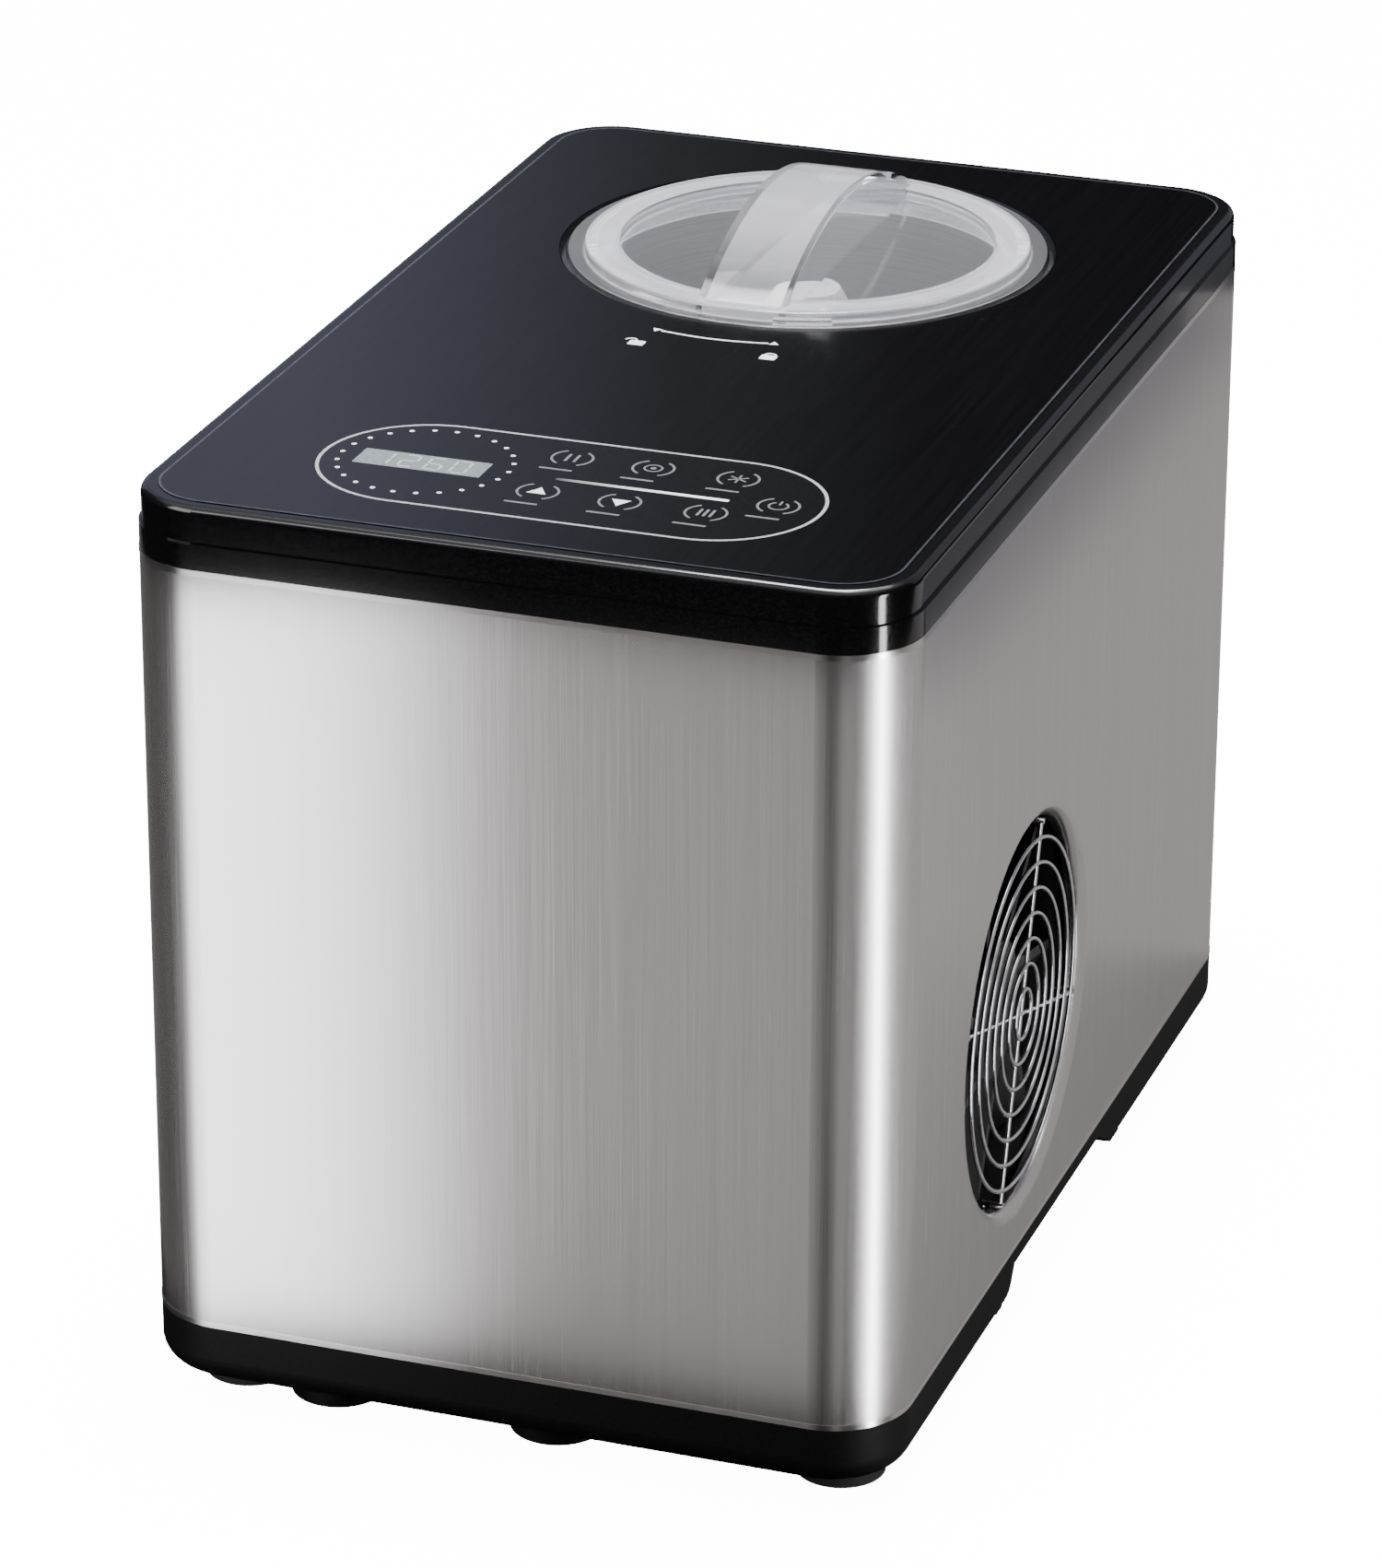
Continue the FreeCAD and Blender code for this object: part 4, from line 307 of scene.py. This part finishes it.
def moulded(name, low, high, rough, spacing, relief=0.1):
    """Moulded plastic of one colour, with a texture of the given spacing in millimetres."""
    material, tree, shader, where = begin(name, high, rough)
    grain = add(tree, "ShaderNodeTexNoise", {"Vector": where, "Scale": 1000 / spacing, "Detail": 3})
    tint(tree, shader, grain.outputs["Fac"], low, high)
    roughen(tree, shader, grain.outputs["Fac"], rough - 0.06, rough + 0.08)
    emboss(tree, shader, grain.outputs["Fac"], relief, 0.0002)
    return material


def worked_metal(name, low, high, rough, spacing, stretch=(1, 1, 1)):
    """Bare or plated metal, with drawing or handling marks of the given spacing in millimetres."""
    material, tree, shader, where = begin(name, high, rough, 1.0)
    along = add(tree, "ShaderNodeMapping", {"Vector": where, "Scale": stretch})
    marks = add(tree, "ShaderNodeTexNoise", {
        "Vector": along.outputs["Vector"], "Scale": 1000 / spacing, "Detail": 4})
    tint(tree, shader, marks.outputs["Fac"], low, high)
    roughen(tree, shader, marks.outputs["Fac"], rough - 0.06, rough + 0.1)
    emboss(tree, shader, marks.outputs["Fac"], 0.06, 0.0001)
    return material


def circuit_board():
    """Green solder mask over copper tracks that stand a little proud."""
    material, tree, shader, where = begin("circuit_board", "#0f4a2c", 0.35)
    tracks = add(tree, "ShaderNodeTexBrick", {
        "Vector": where, "Scale": 120, "Mortar Size": 0.03, "Color1": linear("#0f4a2c"),
        "Color2": linear("#115233"), "Mortar": linear("#2c7a4d")})
    tree.links.new(tracks.outputs["Color"], shader.inputs["Base Color"])
    emboss(tree, shader, tracks.outputs["Fac"], 0.2, 0.0001)
    return material


def foam_block():
    """Moulded polyurethane foam: pale, dull, with open cells."""
    material, tree, shader, where = begin("foam_block", "#e4dcbe", 0.9)
    cells = add(tree, "ShaderNodeTexVoronoi", {"Vector": where, "Scale": 500})
    tint(tree, shader, cells.outputs["Distance"], "#efe8cf", "#cfc6a4", 0.1, 0.7)
    emboss(tree, shader, cells.outputs["Distance"], 0.4, 0.0005)
    return material


brushed = brushed_stainless()
hem = hemmed_stainless()
gloss_black = gloss_black_abs()
acrylic_black = panel_acrylic()
matte_black = matte_black_abs()
rubber = moulded_rubber()
clear = clear_acrylic()
lens = display_lens()
ink = printed_ink()
dim_ink = moulded("grey_print", "#57585c", "#6c6d72", 0.42, 1.0, 0.0)
line_print = moulded("line_print", "#8a8b8f", "#a2a3a8", 0.42, 1.0, 0.0)
# Painted highlight: the grey of the plate's edge line stands in for the light on its bevel.
edge_highlight_grey = moulded("painted_edge_highlight", "#2c2d31", "#3b3c42", 0.16, 3.0, 0.0)
fading_ink = fading_print()
segments = display_segments()
aluminium = spun_aluminium()
paddle_white = moulded("acetal_white", "#c9c9c5", "#e2e2de", 0.38, 2.0)
silicone = moulded("milky_silicone", "#cfd0cf", "#e4e5e4", 0.5, 1.2)
nylon = moulded("gear_nylon", "#d2ccb5", "#e4dfca", 0.45, 1.5)
fan_black = moulded("fan_black", "#0a0a0b", "#151517", 0.42, 0.8)
resin_dark = moulded("dark_resin", "#131315", "#222226", 0.4, 1.0)
powder_black = moulded("powder_coat_black", "#0e0e0f", "#1a1a1b", 0.48, 0.9, 0.3)
zinc = worked_metal("zinc_plate", "#96999f", "#b9bcc0", 0.34, 6.0)
wire_chrome = worked_metal("chrome_wire", "#c9cbce", "#e6e7e9", 0.14, 2.5)
copper = worked_metal("drawn_copper", "#9a5536", "#c98362", 0.26, 7.0)
bronze = worked_metal("sintered_bronze", "#8d6b33", "#b99150", 0.4, 0.5)
fin_foil = worked_metal("fin_foil", "#b5b7b9", "#d3d5d6", 0.3, 3.0)
board_green = circuit_board()
foam = foam_block()

FINISHES = {
    brushed: ["steel_shell"],
    gloss_black: ["top_cap", "lid_seat"],
    acrylic_black: ["top_panel"],
    matte_black: [
        "base_tray", "cord_gland", "gearbox_base", "gearbox_cover", "compressor_relay", "fan_shroud",
    ],
    rubber: ["rubber_feet", "shaft_seal", "compressor_grommets"],
    clear: ["lid"],
    lens: ["display_window"],
    aluminium: ["bowl", "evaporator_well"],
    paddle_white: ["paddle", "board_standoffs"],
    silicone: ["lid_gasket"],
    nylon: ["output_gear", "idler_gear"],
    fan_black: ["fan_frame", "fan_rotor"],
    resin_dark: ["display_module", "motor_stator"],
    powder_black: ["rear_panel", "compressor_body", "compressor_plate"],
    zinc: [
        "rear_panel_screws", "board_screws", "touch_springs", "drive_bridge", "bridge_screws", "idler_pin",
        "motor_can", "motor_rotor", "drive_shaft", "gearbox_screws", "compressor_bolts", "fan_screws",
        "condenser_ends",
    ],
    wire_chrome: ["fan_guard"],
    copper: [
        "evaporator_coil", "condenser_coil", "discharge_pipe", "liquid_pipe", "filter_drier",
        "capillary_tube", "suction_pipe",
    ],
    bronze: ["lower_bearing", "cover_bearing", "upper_bearing", "motor_pinion"],
    fin_foil: ["condenser_fins"],
    board_green: ["control_board", "power_board"],
    foam: ["foam_jacket"],
}
for finish, names in FINISHES.items():
    for name in names:
        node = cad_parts[name]
        node.data.materials.clear()
        node.data.materials.append(finish)


# ---- modelling helpers ----------------------------------------------------------------------


def deselect():
    if bpy.context.mode != "OBJECT":
        bpy.ops.object.mode_set(mode="OBJECT")
    bpy.ops.object.select_all(action="DESELECT")


def settle(piece, name, material, body="housing"):
    """Puts the piece's place into its mesh, names it, finishes it and joins it to a body."""
    deselect()
    piece.select_set(True)
    bpy.context.view_layer.objects.active = piece
    bpy.ops.object.transform_apply(location=True, rotation=True, scale=True)
    piece.name = name
    piece.data.name = name
    piece.data.materials.clear()
    piece.data.materials.append(material)
    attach(piece, body)
    return piece


def join(pieces):
    """Several marks as one piece."""
    deselect()
    for piece in pieces:
        piece.select_set(True)
    bpy.context.view_layer.objects.active = pieces[0]
    bpy.ops.object.join()
    return bpy.context.object


def copy_of(piece, x, y, turn=0.0):
    """A copy with its own mesh, moved and turned on the plate."""
    copy = piece.copy()
    copy.data = piece.data.copy()
    bpy.context.scene.collection.objects.link(copy)
    copy.location = (x, y, piece.location.z)
    copy.rotation_euler = (0, 0, turn)
    return copy


def turned_bar(half_length, half_width, round_off, z, x, y, turn):
    """A short printed bar laid at any angle."""
    bar = printed_plate(half_length, half_width, round_off, 0, 0, z, INK, 1)
    copy = copy_of(bar, x, y, turn)
    bpy.data.objects.remove(bar)
    return copy


def thicken(rise):
    """Gives the selected flat faces of the piece in edit mode a height, closed and facing outwards."""
    bpy.ops.mesh.select_all(action="SELECT")
    bpy.ops.mesh.extrude_region_move(TRANSFORM_OT_translate={"value": (0, 0, rise)})
    bpy.ops.mesh.select_all(action="SELECT")
    bpy.ops.mesh.normals_make_consistent(inside=False)
    bpy.ops.object.mode_set(mode="OBJECT")


def flat_plate(half_x, half_y, radius, x, y, z, corners=10):
    """A flat rounded rectangle, left in edit mode with everything selected."""
    deselect()
    bpy.ops.mesh.primitive_plane_add(size=2, location=(x, y, z))
    piece = bpy.context.object
    piece.scale = (half_x, half_y, 1)
    bpy.ops.object.transform_apply(location=False, rotation=False, scale=True)
    bpy.ops.object.mode_set(mode="EDIT")
    bpy.ops.mesh.select_all(action="SELECT")
    if radius:
        bpy.ops.mesh.bevel(affect="VERTICES", offset=radius, segments=corners)
        bpy.ops.mesh.remove_doubles(threshold=1e-6)
        bpy.ops.mesh.select_all(action="SELECT")
    return piece


def printed_plate(half_x, half_y, radius, x, y, z, rise, corners=10):
    """A thin solid rounded rectangle."""
    piece = flat_plate(half_x, half_y, radius, x, y, z, corners)
    thicken(rise)
    return piece


def printed_outline(half_x, half_y, radius, width, x, y, z, rise, corners=10):
    """A thin solid line round a rounded rectangle."""
    piece = flat_plate(half_x, half_y, radius, x, y, z, corners)
    bpy.ops.mesh.inset(thickness=width)
    bpy.ops.mesh.delete(type="FACE")
    thicken(rise)
    return piece


def printed_disc(radius, x, y, z, rise, sides=16, turn=0.0):
    """A thin solid disc, or a polygon with few sides."""
    deselect()
    bpy.ops.mesh.primitive_circle_add(
        vertices=sides, radius=radius, fill_type="NGON", location=(x, y, z), rotation=(0, 0, turn))
    bpy.ops.object.mode_set(mode="EDIT")
    thicken(rise)
    return bpy.context.object


def printed_arcs(radius, width, x, y, z, rise, keep, sides=48):
    """A thin ring, of which only the faces whose direction passes the test are kept."""
    deselect()
    bpy.ops.mesh.primitive_circle_add(vertices=sides, radius=radius, fill_type="NGON", location=(x, y, z))
    piece = bpy.context.object
    bpy.ops.object.mode_set(mode="EDIT")
    bpy.ops.mesh.select_all(action="SELECT")
    bpy.ops.mesh.inset(thickness=width)
    bpy.ops.mesh.delete(type="FACE")
    bpy.ops.object.mode_set(mode="OBJECT")
    for face in piece.data.polygons:
        face.select = not keep(math.degrees(math.atan2(face.center.y, face.center.x)))
    bpy.ops.object.mode_set(mode="EDIT")
    bpy.ops.mesh.select_mode(type="FACE")
    bpy.ops.mesh.delete(type="FACE")
    thicken(rise)
    return piece


# ---- printed marks on the plate -------------------------------------------------------------

INK = 0.00006  # thickness of a printed line
FIELD_INK = INK / 3  # thickness of the field that the keys' marks lie on
KEYS_X = 0.0009
KEYS_Y = body_low.y + 0.0539

# The keys' places, in millimetres from the middle of their field.
KEY_COLUMNS = (-5.7, 18.0, 42.7)
BACK_ROW = 17.2
FRONT_ROW = -10.2
POWER_KEY = (59.6, 1.2)
CLOCK_MIDDLE = (-42.9, 1.1)
CLOCK_RADIUS = 0.0245
CLOCK_DOTS = 24

# The seven bars of a figure: place across and up in bar lengths, and 1 if the bar is upright.
BARS = [(0, 1, 0), (0, 0, 0), (0, -1, 0), (-0.5, 0.5, 1), (0.5, 0.5, 1), (-0.5, -0.5, 1), (0.5, -0.5, 1)]
FIGURES = {0: (0, 2, 3, 4, 5, 6), 1: (4, 6), 2: (0, 1, 2, 4, 5), 6: (0, 1, 2, 3, 5, 6)}
SHOWN = (1, 2, 6, 0)
FIGURE_PITCH = 0.0076


def mark_place(x, y):
    """A place on the plate, given in millimetres from the middle of the keys."""
    return KEYS_X + x * MM, KEYS_Y + y * MM, plate_z


def key_place(x, y):
    """A place on the keys' field, given in the same way."""
    px, py, z = mark_place(x, y)
    return px, py, z + FIELD_INK


def make_key_field():
    """Darker field under the keys, with a thin outline round it."""
    x, y, z = mark_place(0, 0)
    half_x, half_y, gap = 0.0720, 0.0300, 0.0008
    field = printed_plate(half_x, half_y, half_y - 0.0001, x, y, z, FIELD_INK, 16)
    settle(field, "key_field", gloss_black)
    low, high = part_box("display_window")
    middle = (low + high) / 2
    half = (high - low) / 2
    face = printed_plate(
        half.x, half.y, 0.0003, middle.x, middle.y, plate_z + FIELD_INK, FIELD_INK, 2)
    settle(face, "display_face", lens)
    outer = half_y + gap
    outline = printed_outline(half_x + gap, outer, outer - 0.0001, 0.0010, x, y, z, INK, 16)
    settle(outline, "key_outline", line_print)


def make_clock_dots():
    """Ring of dots that counts the minutes round the display."""
    x, y, z = key_place(*CLOCK_MIDDLE)
    first = printed_disc(0.00075, x + CLOCK_RADIUS, y, z, INK, 12)
    dots = [first]
    for i in range(1, CLOCK_DOTS):
        turn = 2 * math.pi * i / CLOCK_DOTS
        dots.append(copy_of(first, x + CLOCK_RADIUS * math.cos(turn), y + CLOCK_RADIUS * math.sin(turn)))
    settle(join(dots), "clock_dots", ink)


def make_digits():
    """Four figures of seven segments each on the display."""
    low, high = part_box("display_window")
    middle = (low + high) / 2
    length, width = 0.0036, 0.0007
    step = length + width
    bar = printed_plate(length / 2, width / 2, 0.00025, 0, 0, plate_z + 2 * FIELD_INK, INK, 2)
    parts = []
    for column, figure in enumerate(SHOWN):
        offset = (column - 1.5) * FIGURE_PITCH
        for index in FIGURES[figure]:
            across, up, upright = BARS[index]
            parts.append(copy_of(
                bar, middle.x + offset + across * step, middle.y + up * step, math.pi / 2 * upright))
    bpy.data.objects.remove(bar)
    settle(join(parts), "display_figures", segments)


def key_frame(x, y):
    """The two side arcs that frame a key, and the caption bar under it."""
    px, py, z = key_place(x, y)
    arcs = printed_arcs(0.0061, 0.0007, px, py, z, INK, lambda a: abs(a) < 62 or abs(a) > 118)
    px, py, z = key_place(x - 1.5, y - 9.6)
    return [arcs, printed_plate(0.0048, 0.0005, 0.0003, px, py, z, INK, 2)]


def upright_bars(x, y, half_length, offsets):
    """Short upright bars side by side, as on the pause key."""
    px, py, z = key_place(x, y)
    return [printed_plate(0.0004, half_length, 0.0002, px + offset, py, z, INK, 2) for offset in offsets]


def target_sign(x, y):
    """A ring with a dot in its middle."""
    px, py, z = key_place(x, y)
    return [
        printed_arcs(0.0028, 0.0006, px, py, z, INK, lambda a: True, 24),
        printed_disc(0.0009, px, py, z, INK, 8),
    ]


def frost_sign(x, y):
    """Three crossed bars."""
    px, py, z = key_place(x, y)
    return [turned_bar(0.0030, 0.0003, 0.0001, z, px, py, math.radians(turn + 30)) for turn in (0, 60, 120)]


def power_sign(x, y):
    """A ring broken at its top, with an upright bar in the gap."""
    px, py, z = key_place(x, y)
    return [
        printed_arcs(0.0030, 0.0006, px, py, z, INK, lambda a: abs(a - 90) > 35, 24),
        printed_plate(0.0003, 0.0014, 0.0001, px, py + 0.0022, z, INK, 1),
    ]


def make_keys():
    """Seven touch keys: each a framed sign with a short caption bar under it."""
    left, middle, right = KEY_COLUMNS
    parts = []
    for x, y in [(x, BACK_ROW) for x in KEY_COLUMNS] + [(x, FRONT_ROW) for x in KEY_COLUMNS] + [POWER_KEY]:
        parts += key_frame(x, y)
    arrows = []
    for x, turn in ((left, 0), (middle, 180)):
        px, py, z = key_place(x, FRONT_ROW)
        arrows.append(printed_disc(0.0032, px, py, z, INK, 3, math.radians(turn)))
    parts += upright_bars(right, FRONT_ROW, 0.0026, (-0.0018, 0, 0.0018))
    parts += upright_bars(left, BACK_ROW, 0.0028, (-0.0013, 0.0013))
    parts += target_sign(middle, BACK_ROW)
    parts += frost_sign(right, BACK_ROW)
    parts += power_sign(*POWER_KEY)
    settle(join(parts), "key_signs", dim_ink)
    settle(join(arrows), "key_arrows", ink)
    px, py, z = key_place(20.6, 0.5)
    bar = printed_plate(0.0250, 0.0008, 0.0002, px, py, z, INK, 2)
    settle(bar, "key_divider", fading_ink)


def bow(start, end, share):
    """A point on the bowed line between the padlocks, at a share of its length."""
    return start + (end - start) * share, -0.0019 - 0.0018 * math.sin(math.pi * share)


def make_lock_marks():
    """Open and shut padlock signs with a bowed double arrow between them."""
    parts = []
    for x, y, shut in ((-20.0, -12.9, False), (19.8, -12.0, True)):
        px, py = x * MM, y * MM
        parts.append(printed_plate(0.0024, 0.0019, 0.0005, px, py - 0.0012, plate_z, INK, 3))
        shift = 0.0 if shut else -0.0022
        parts.append(printed_arcs(
            0.0019, 0.0006, px + shift, py + 0.0006, plate_z, INK, lambda a: a > -5, 24))
    pieces = 16
    for i in range(pieces):
        x0, y0 = bow(-0.0165, 0.0160, i / pieces)
        x1, y1 = bow(-0.0165, 0.0160, (i + 1) / pieces)
        half_length = math.hypot(x1 - x0, y1 - y0) / 2 + 0.0001
        parts.append(turned_bar(
            half_length, 0.00045, 0, plate_z, (x0 + x1) / 2, (y0 + y1) / 2, math.atan2(y1 - y0, x1 - x0)))
    for x, y, turn in ((-0.0182, -0.0014, 170), (0.0177, -0.0016, 10)):
        parts.append(printed_disc(0.0017, x, y, plate_z, INK, 3, math.radians(turn)))
    settle(join(parts), "lock_marks", ink)


def make_plate_edge():
    """The plate's edge: a thin grey line painted as the highlight that its polished bevel catches."""
    half_x = (plate_high.x - plate_low.x) / 2
    half_y = (plate_high.y - plate_low.y) / 2
    line = printed_outline(half_x, half_y, 0.0175, 0.0007, 0, 0, plate_z - 0.0001, 0.00014, 12)
    settle(line, "plate_edge", edge_highlight_grey)


def make_hems():
    """The shell's folded top and bottom edges, standing a hair proud of its face."""
    proud, height = 0.00012, 0.0017
    half_x = (body_high.x - body_low.x) / 2 + proud
    half_y = (body_high.y - body_low.y) / 2 + proud
    for name, z in (("bottom_hem", body_low.z), ("top_hem", body_high.z - height)):
        piece = printed_outline(half_x, half_y, 0.0233, 0.0004, 0, 0, z, height, 14)
        deselect()
        piece.select_set(True)
        bpy.context.view_layer.objects.active = piece
        bpy.ops.object.shade_smooth_by_angle(angle=math.radians(40))
        settle(piece, name, hem)


# ---- light, floor and camera ----------------------------------------------------------------


TENT_POWER = 6.0
TENT_REACH = 0.12  # the tent's distance from the shell
TENT_FOOT = -0.035
TENT_HEIGHT = 0.24
STRIP_POWER = 22.0
FLOOR_GLOW = 14.0
RIGHT_ANGLE = math.pi / 2


def seen_only_in_gloss(piece):
    """Hides a glowing card from all but reflections."""
    piece.visible_camera = False
    piece.visible_diffuse = False
    piece.visible_transmission = False
    piece.visible_volume_scatter = False
    piece.visible_shadow = False


def make_floor():
    """Pale seamless sheet under and behind the machine."""
    deselect()
    bpy.ops.mesh.primitive_plane_add(size=12, location=(0, 0, cad_box[0].z - 0.0002))
    floor = bpy.context.object
    floor.name = "floor"
    material, tree, shader, where = begin(
        "pale_floor", "#fbfbfb", 0.6, 0.0,
        {"Emission Color": linear("#ffffff"), "Emission Strength": FLOOR_GLOW})
    fleck = add(tree, "ShaderNodeTexNoise", {"Vector": where, "Scale": 3, "Detail": 2})
    tint(tree, shader, fleck.outputs["Fac"], "#fafafa", "#fdfdfd")
    floor.data.materials.append(material)
    floor.visible_glossy = False
    floor.visible_diffuse = False


def glow(name, fraction, *places, power=TENT_POWER):
    """A glowing card's material: a ramp of greys along a fraction from 0 to 1."""
    material, tree, fraction = fraction(name)
    ramp = add(tree, "ShaderNodeValToRGB", {"Fac": fraction})
    stops(ramp, *places)
    light = add(tree, "ShaderNodeEmission", {"Color": ramp.outputs["Color"], "Strength": power})
    add(tree, "ShaderNodeOutputMaterial", {"Surface": light.outputs["Emission"]})
    return material


def card_start(name):
    """A new empty material, and the card's own coordinates."""
    material = bpy.data.materials.new(name)
    material.use_nodes = True
    material.node_tree.nodes.clear()
    where = add(material.node_tree, "ShaderNodeTexCoord").outputs["Object"]
    return material, material.node_tree, where


def round_about(name):
    """Fraction of a turn about the machine, 0.5 at the front and rising to the right."""
    material, tree, where = card_start(name)
    parts = add(tree, "ShaderNodeSeparateXYZ", {"Vector": where})
    front = add(tree, "ShaderNodeMath", {0: parts.outputs["Y"], 1: -1.0}, operation="MULTIPLY")
    turn = add(tree, "ShaderNodeMath", {
        0: parts.outputs["X"], 1: front.outputs["Value"]}, operation="ARCTAN2")
    part = add(tree, "ShaderNodeMapRange", {
        "Value": turn.outputs["Value"], "From Min": -math.pi, "From Max": math.pi})
    return material, tree, part.outputs["Result"]


def left_to_right(name):
    """Fraction of the way across a metre, 0.5 in the machine's middle plane."""
    material, tree, where = card_start(name)
    parts = add(tree, "ShaderNodeSeparateXYZ", {"Vector": where})
    part = add(tree, "ShaderNodeMapRange", {"Value": parts.outputs["X"], "From Min": -0.5, "From Max": 0.5})
    return material, tree, part.outputs["Result"]


def turn_stop(degrees, colour):
    """A ramp stop at an angle from the front, to the right."""
    return (degrees / 360 + 0.5, colour)


def make_tent():
    """Light tent close round the machine: what its steel sides mirror."""
    half_x = body_high.x + TENT_REACH
    half_y = body_high.y + TENT_REACH
    tent = flat_plate(half_x, half_y, 0.14, 0, 0, TENT_FOOT, 12)
    bpy.ops.mesh.delete(type="ONLY_FACE")
    bpy.ops.mesh.select_all(action="SELECT")
    bpy.ops.mesh.extrude_edges_move(TRANSFORM_OT_translate={"value": (0, 0, TENT_HEIGHT)})
    bpy.ops.object.mode_set(mode="OBJECT")
    tent.name = "tent"
    tent.data.materials.append(glow(
        "tent_glow", round_about,
        turn_stop(-180, "#3a3a3a"), turn_stop(-90, "#363434"), turn_stop(-60, "#242222"),
        turn_stop(-34, "#1c1b1b"), turn_stop(-29, "#f0f0f0"), turn_stop(-22, "#f0f0f0"),
        turn_stop(-16, "#bcbcbc"), turn_stop(-10, "#4c4949"), turn_stop(12, "#545151"),
        turn_stop(16, "#161515"), turn_stop(22, "#161515"), turn_stop(27, "#545252"),
        turn_stop(31, "#2c2a2a"), turn_stop(38, "#2c2a2a"), turn_stop(42, "#8c8c8c"),
        turn_stop(50, "#8c8c8c"), turn_stop(56, "#545252"), turn_stop(70, "#504e4e"),
        turn_stop(180, "#504e4e")))
    seen_only_in_gloss(tent)


def make_card(name, place, turn, width, height, *places, power=TENT_POWER):
    """A flat glowing card with a ramp of greys from left to right."""
    deselect()
    bpy.ops.mesh.primitive_plane_add(size=1, location=place, rotation=turn)
    card = bpy.context.object
    card.scale = (width, height, 1)
    bpy.ops.object.transform_apply(location=True, rotation=True, scale=True)
    card.name = name + "_card"
    card.data.materials.append(glow(name + "_glow", left_to_right, *places, power=power))
    seen_only_in_gloss(card)


def make_cards():
    """What the right side's foot, the glossy plate, the corner and the cap's long side mirror."""
    make_card(
        "side", (body_high.x + TENT_REACH, 0.32, -0.2), (0, RIGHT_ANGLE, 0), 0.34, 0.9,
        (0.0, "#464444"), (1.0, "#464444"))
    make_card(
        "rear", (0, 0.36, 0.62), (RIGHT_ANGLE, 0, 0), 1.6, 0.7,
        (0.05, "#3e3f4a"), (0.22, "#3d3e48"), (0.36, "#1f2023"), (0.45, "#0c0c0d"), (0.58, "#060606"),
        (0.63, "#38383d"), (1.0, "#38383d"))
    make_card(
        "corner", (0.2176, -0.2065, 0.12), (RIGHT_ANGLE, 0, math.radians(72)), 0.02, 0.32,
        (0.0, "#ffffff"), (1.0, "#ffffff"), power=STRIP_POWER)
    make_card(
        "cap", (body_high.x + 0.0475, 0.15, cap_low.z - 0.045), (0, RIGHT_ANGLE, 0), 0.034, 0.44,
        (0.0, "#2a2a2e"), (1.0, "#2a2a2e"))


def softbox(name, place, aim, side, power):
    """A square soft light that faces a point."""
    data = bpy.data.lights.new(name, "AREA")
    data.shape = "RECTANGLE"
    data.size = side
    data.size_y = side
    data.energy = power
    lamp = bpy.data.objects.new(name, data)
    lamp.location = place
    lamp.rotation_euler = (Vector(aim) - Vector(place)).to_track_quat("-Z", "Y").to_euler()
    bpy.context.scene.collection.objects.link(lamp)
    return lamp


WORLD_POWER = 1.0


def make_world():
    """Even white surroundings for the eye and the floor; gloss sees bright only from above."""
    world = bpy.data.worlds.new("studio")
    world.use_nodes = True
    tree = world.node_tree
    tree.nodes.clear()
    path = add(tree, "ShaderNodeLightPath")
    where = add(tree, "ShaderNodeTexCoord").outputs["Generated"]
    parts = add(tree, "ShaderNodeSeparateXYZ", {"Vector": where})
    ramp = add(tree, "ShaderNodeValToRGB", {"Fac": parts.outputs["Z"]})
    stops(ramp, (0.0, "#1c1c1d"), (0.05, "#262629"), (0.55, "#262629"), (0.8, "#ffffff"))
    through = add(tree, "ShaderNodeMapRange", {
        "Value": path.outputs["Is Transmission Ray"], "To Min": WORLD_POWER, "To Max": WORLD_POWER * 4})
    white = add(tree, "ShaderNodeBackground", {
        "Color": linear("#ffffff"), "Strength": through.outputs["Result"]})
    gloss = add(tree, "ShaderNodeBackground", {"Color": ramp.outputs["Color"], "Strength": 0.8})
    both = add(tree, "ShaderNodeMixShader", {
        0: path.outputs["Is Glossy Ray"], 1: white.outputs["Background"], 2: gloss.outputs["Background"]})
    add(tree, "ShaderNodeOutputWorld", {"Surface": both.outputs["Shader"]})
    bpy.context.scene.world = world


AZIMUTH = math.radians(19.09)
ELEVATION = math.radians(23.31)
ROLL = math.radians(0.22)
CAMERA_PLACE = (0.5992, -1.7536, 0.9339)
LENS = 155.5


def make_camera():
    """Long lens, high to the right of the front."""
    outward = math.cos(ELEVATION)
    back = Vector((math.sin(AZIMUTH) * outward, -math.cos(AZIMUTH) * outward, math.sin(ELEVATION)))
    level = Vector((0, 0, 1)).cross(back).normalized()
    upward = back.cross(level)
    right = level * math.cos(ROLL) + upward * math.sin(ROLL)
    up = upward * math.cos(ROLL) - level * math.sin(ROLL)
    data = bpy.data.cameras.new("camera")
    data.lens = LENS
    data.sensor_width = 36
    data.clip_end = 50
    camera = bpy.data.objects.new("camera", data)
    turn = Matrix((right, up, back)).transposed().to_4x4()
    camera.matrix_world = Matrix.Translation(CAMERA_PLACE) @ turn
    bpy.context.scene.collection.objects.link(camera)
    bpy.context.scene.camera = camera


make_key_field()
make_clock_dots()
make_digits()
make_keys()
make_lock_marks()
make_plate_edge()
make_hems()
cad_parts["lid"].visible_shadow = False

make_floor()
make_world()
make_tent()
make_cards()
softbox("bowl_light", (0.0, 0.0, 0.9), aim=(0, bowl_y, 0.2), side=0.3, power=9)
softbox("key", (-1.6, -1.6, 1.8), aim=(0, 0, 0.15), side=1.4, power=30)
softbox("overhead", (0.2, 0.3, 2.2), aim=(0, 0, 0.2), side=1.6, power=30)
make_camera()
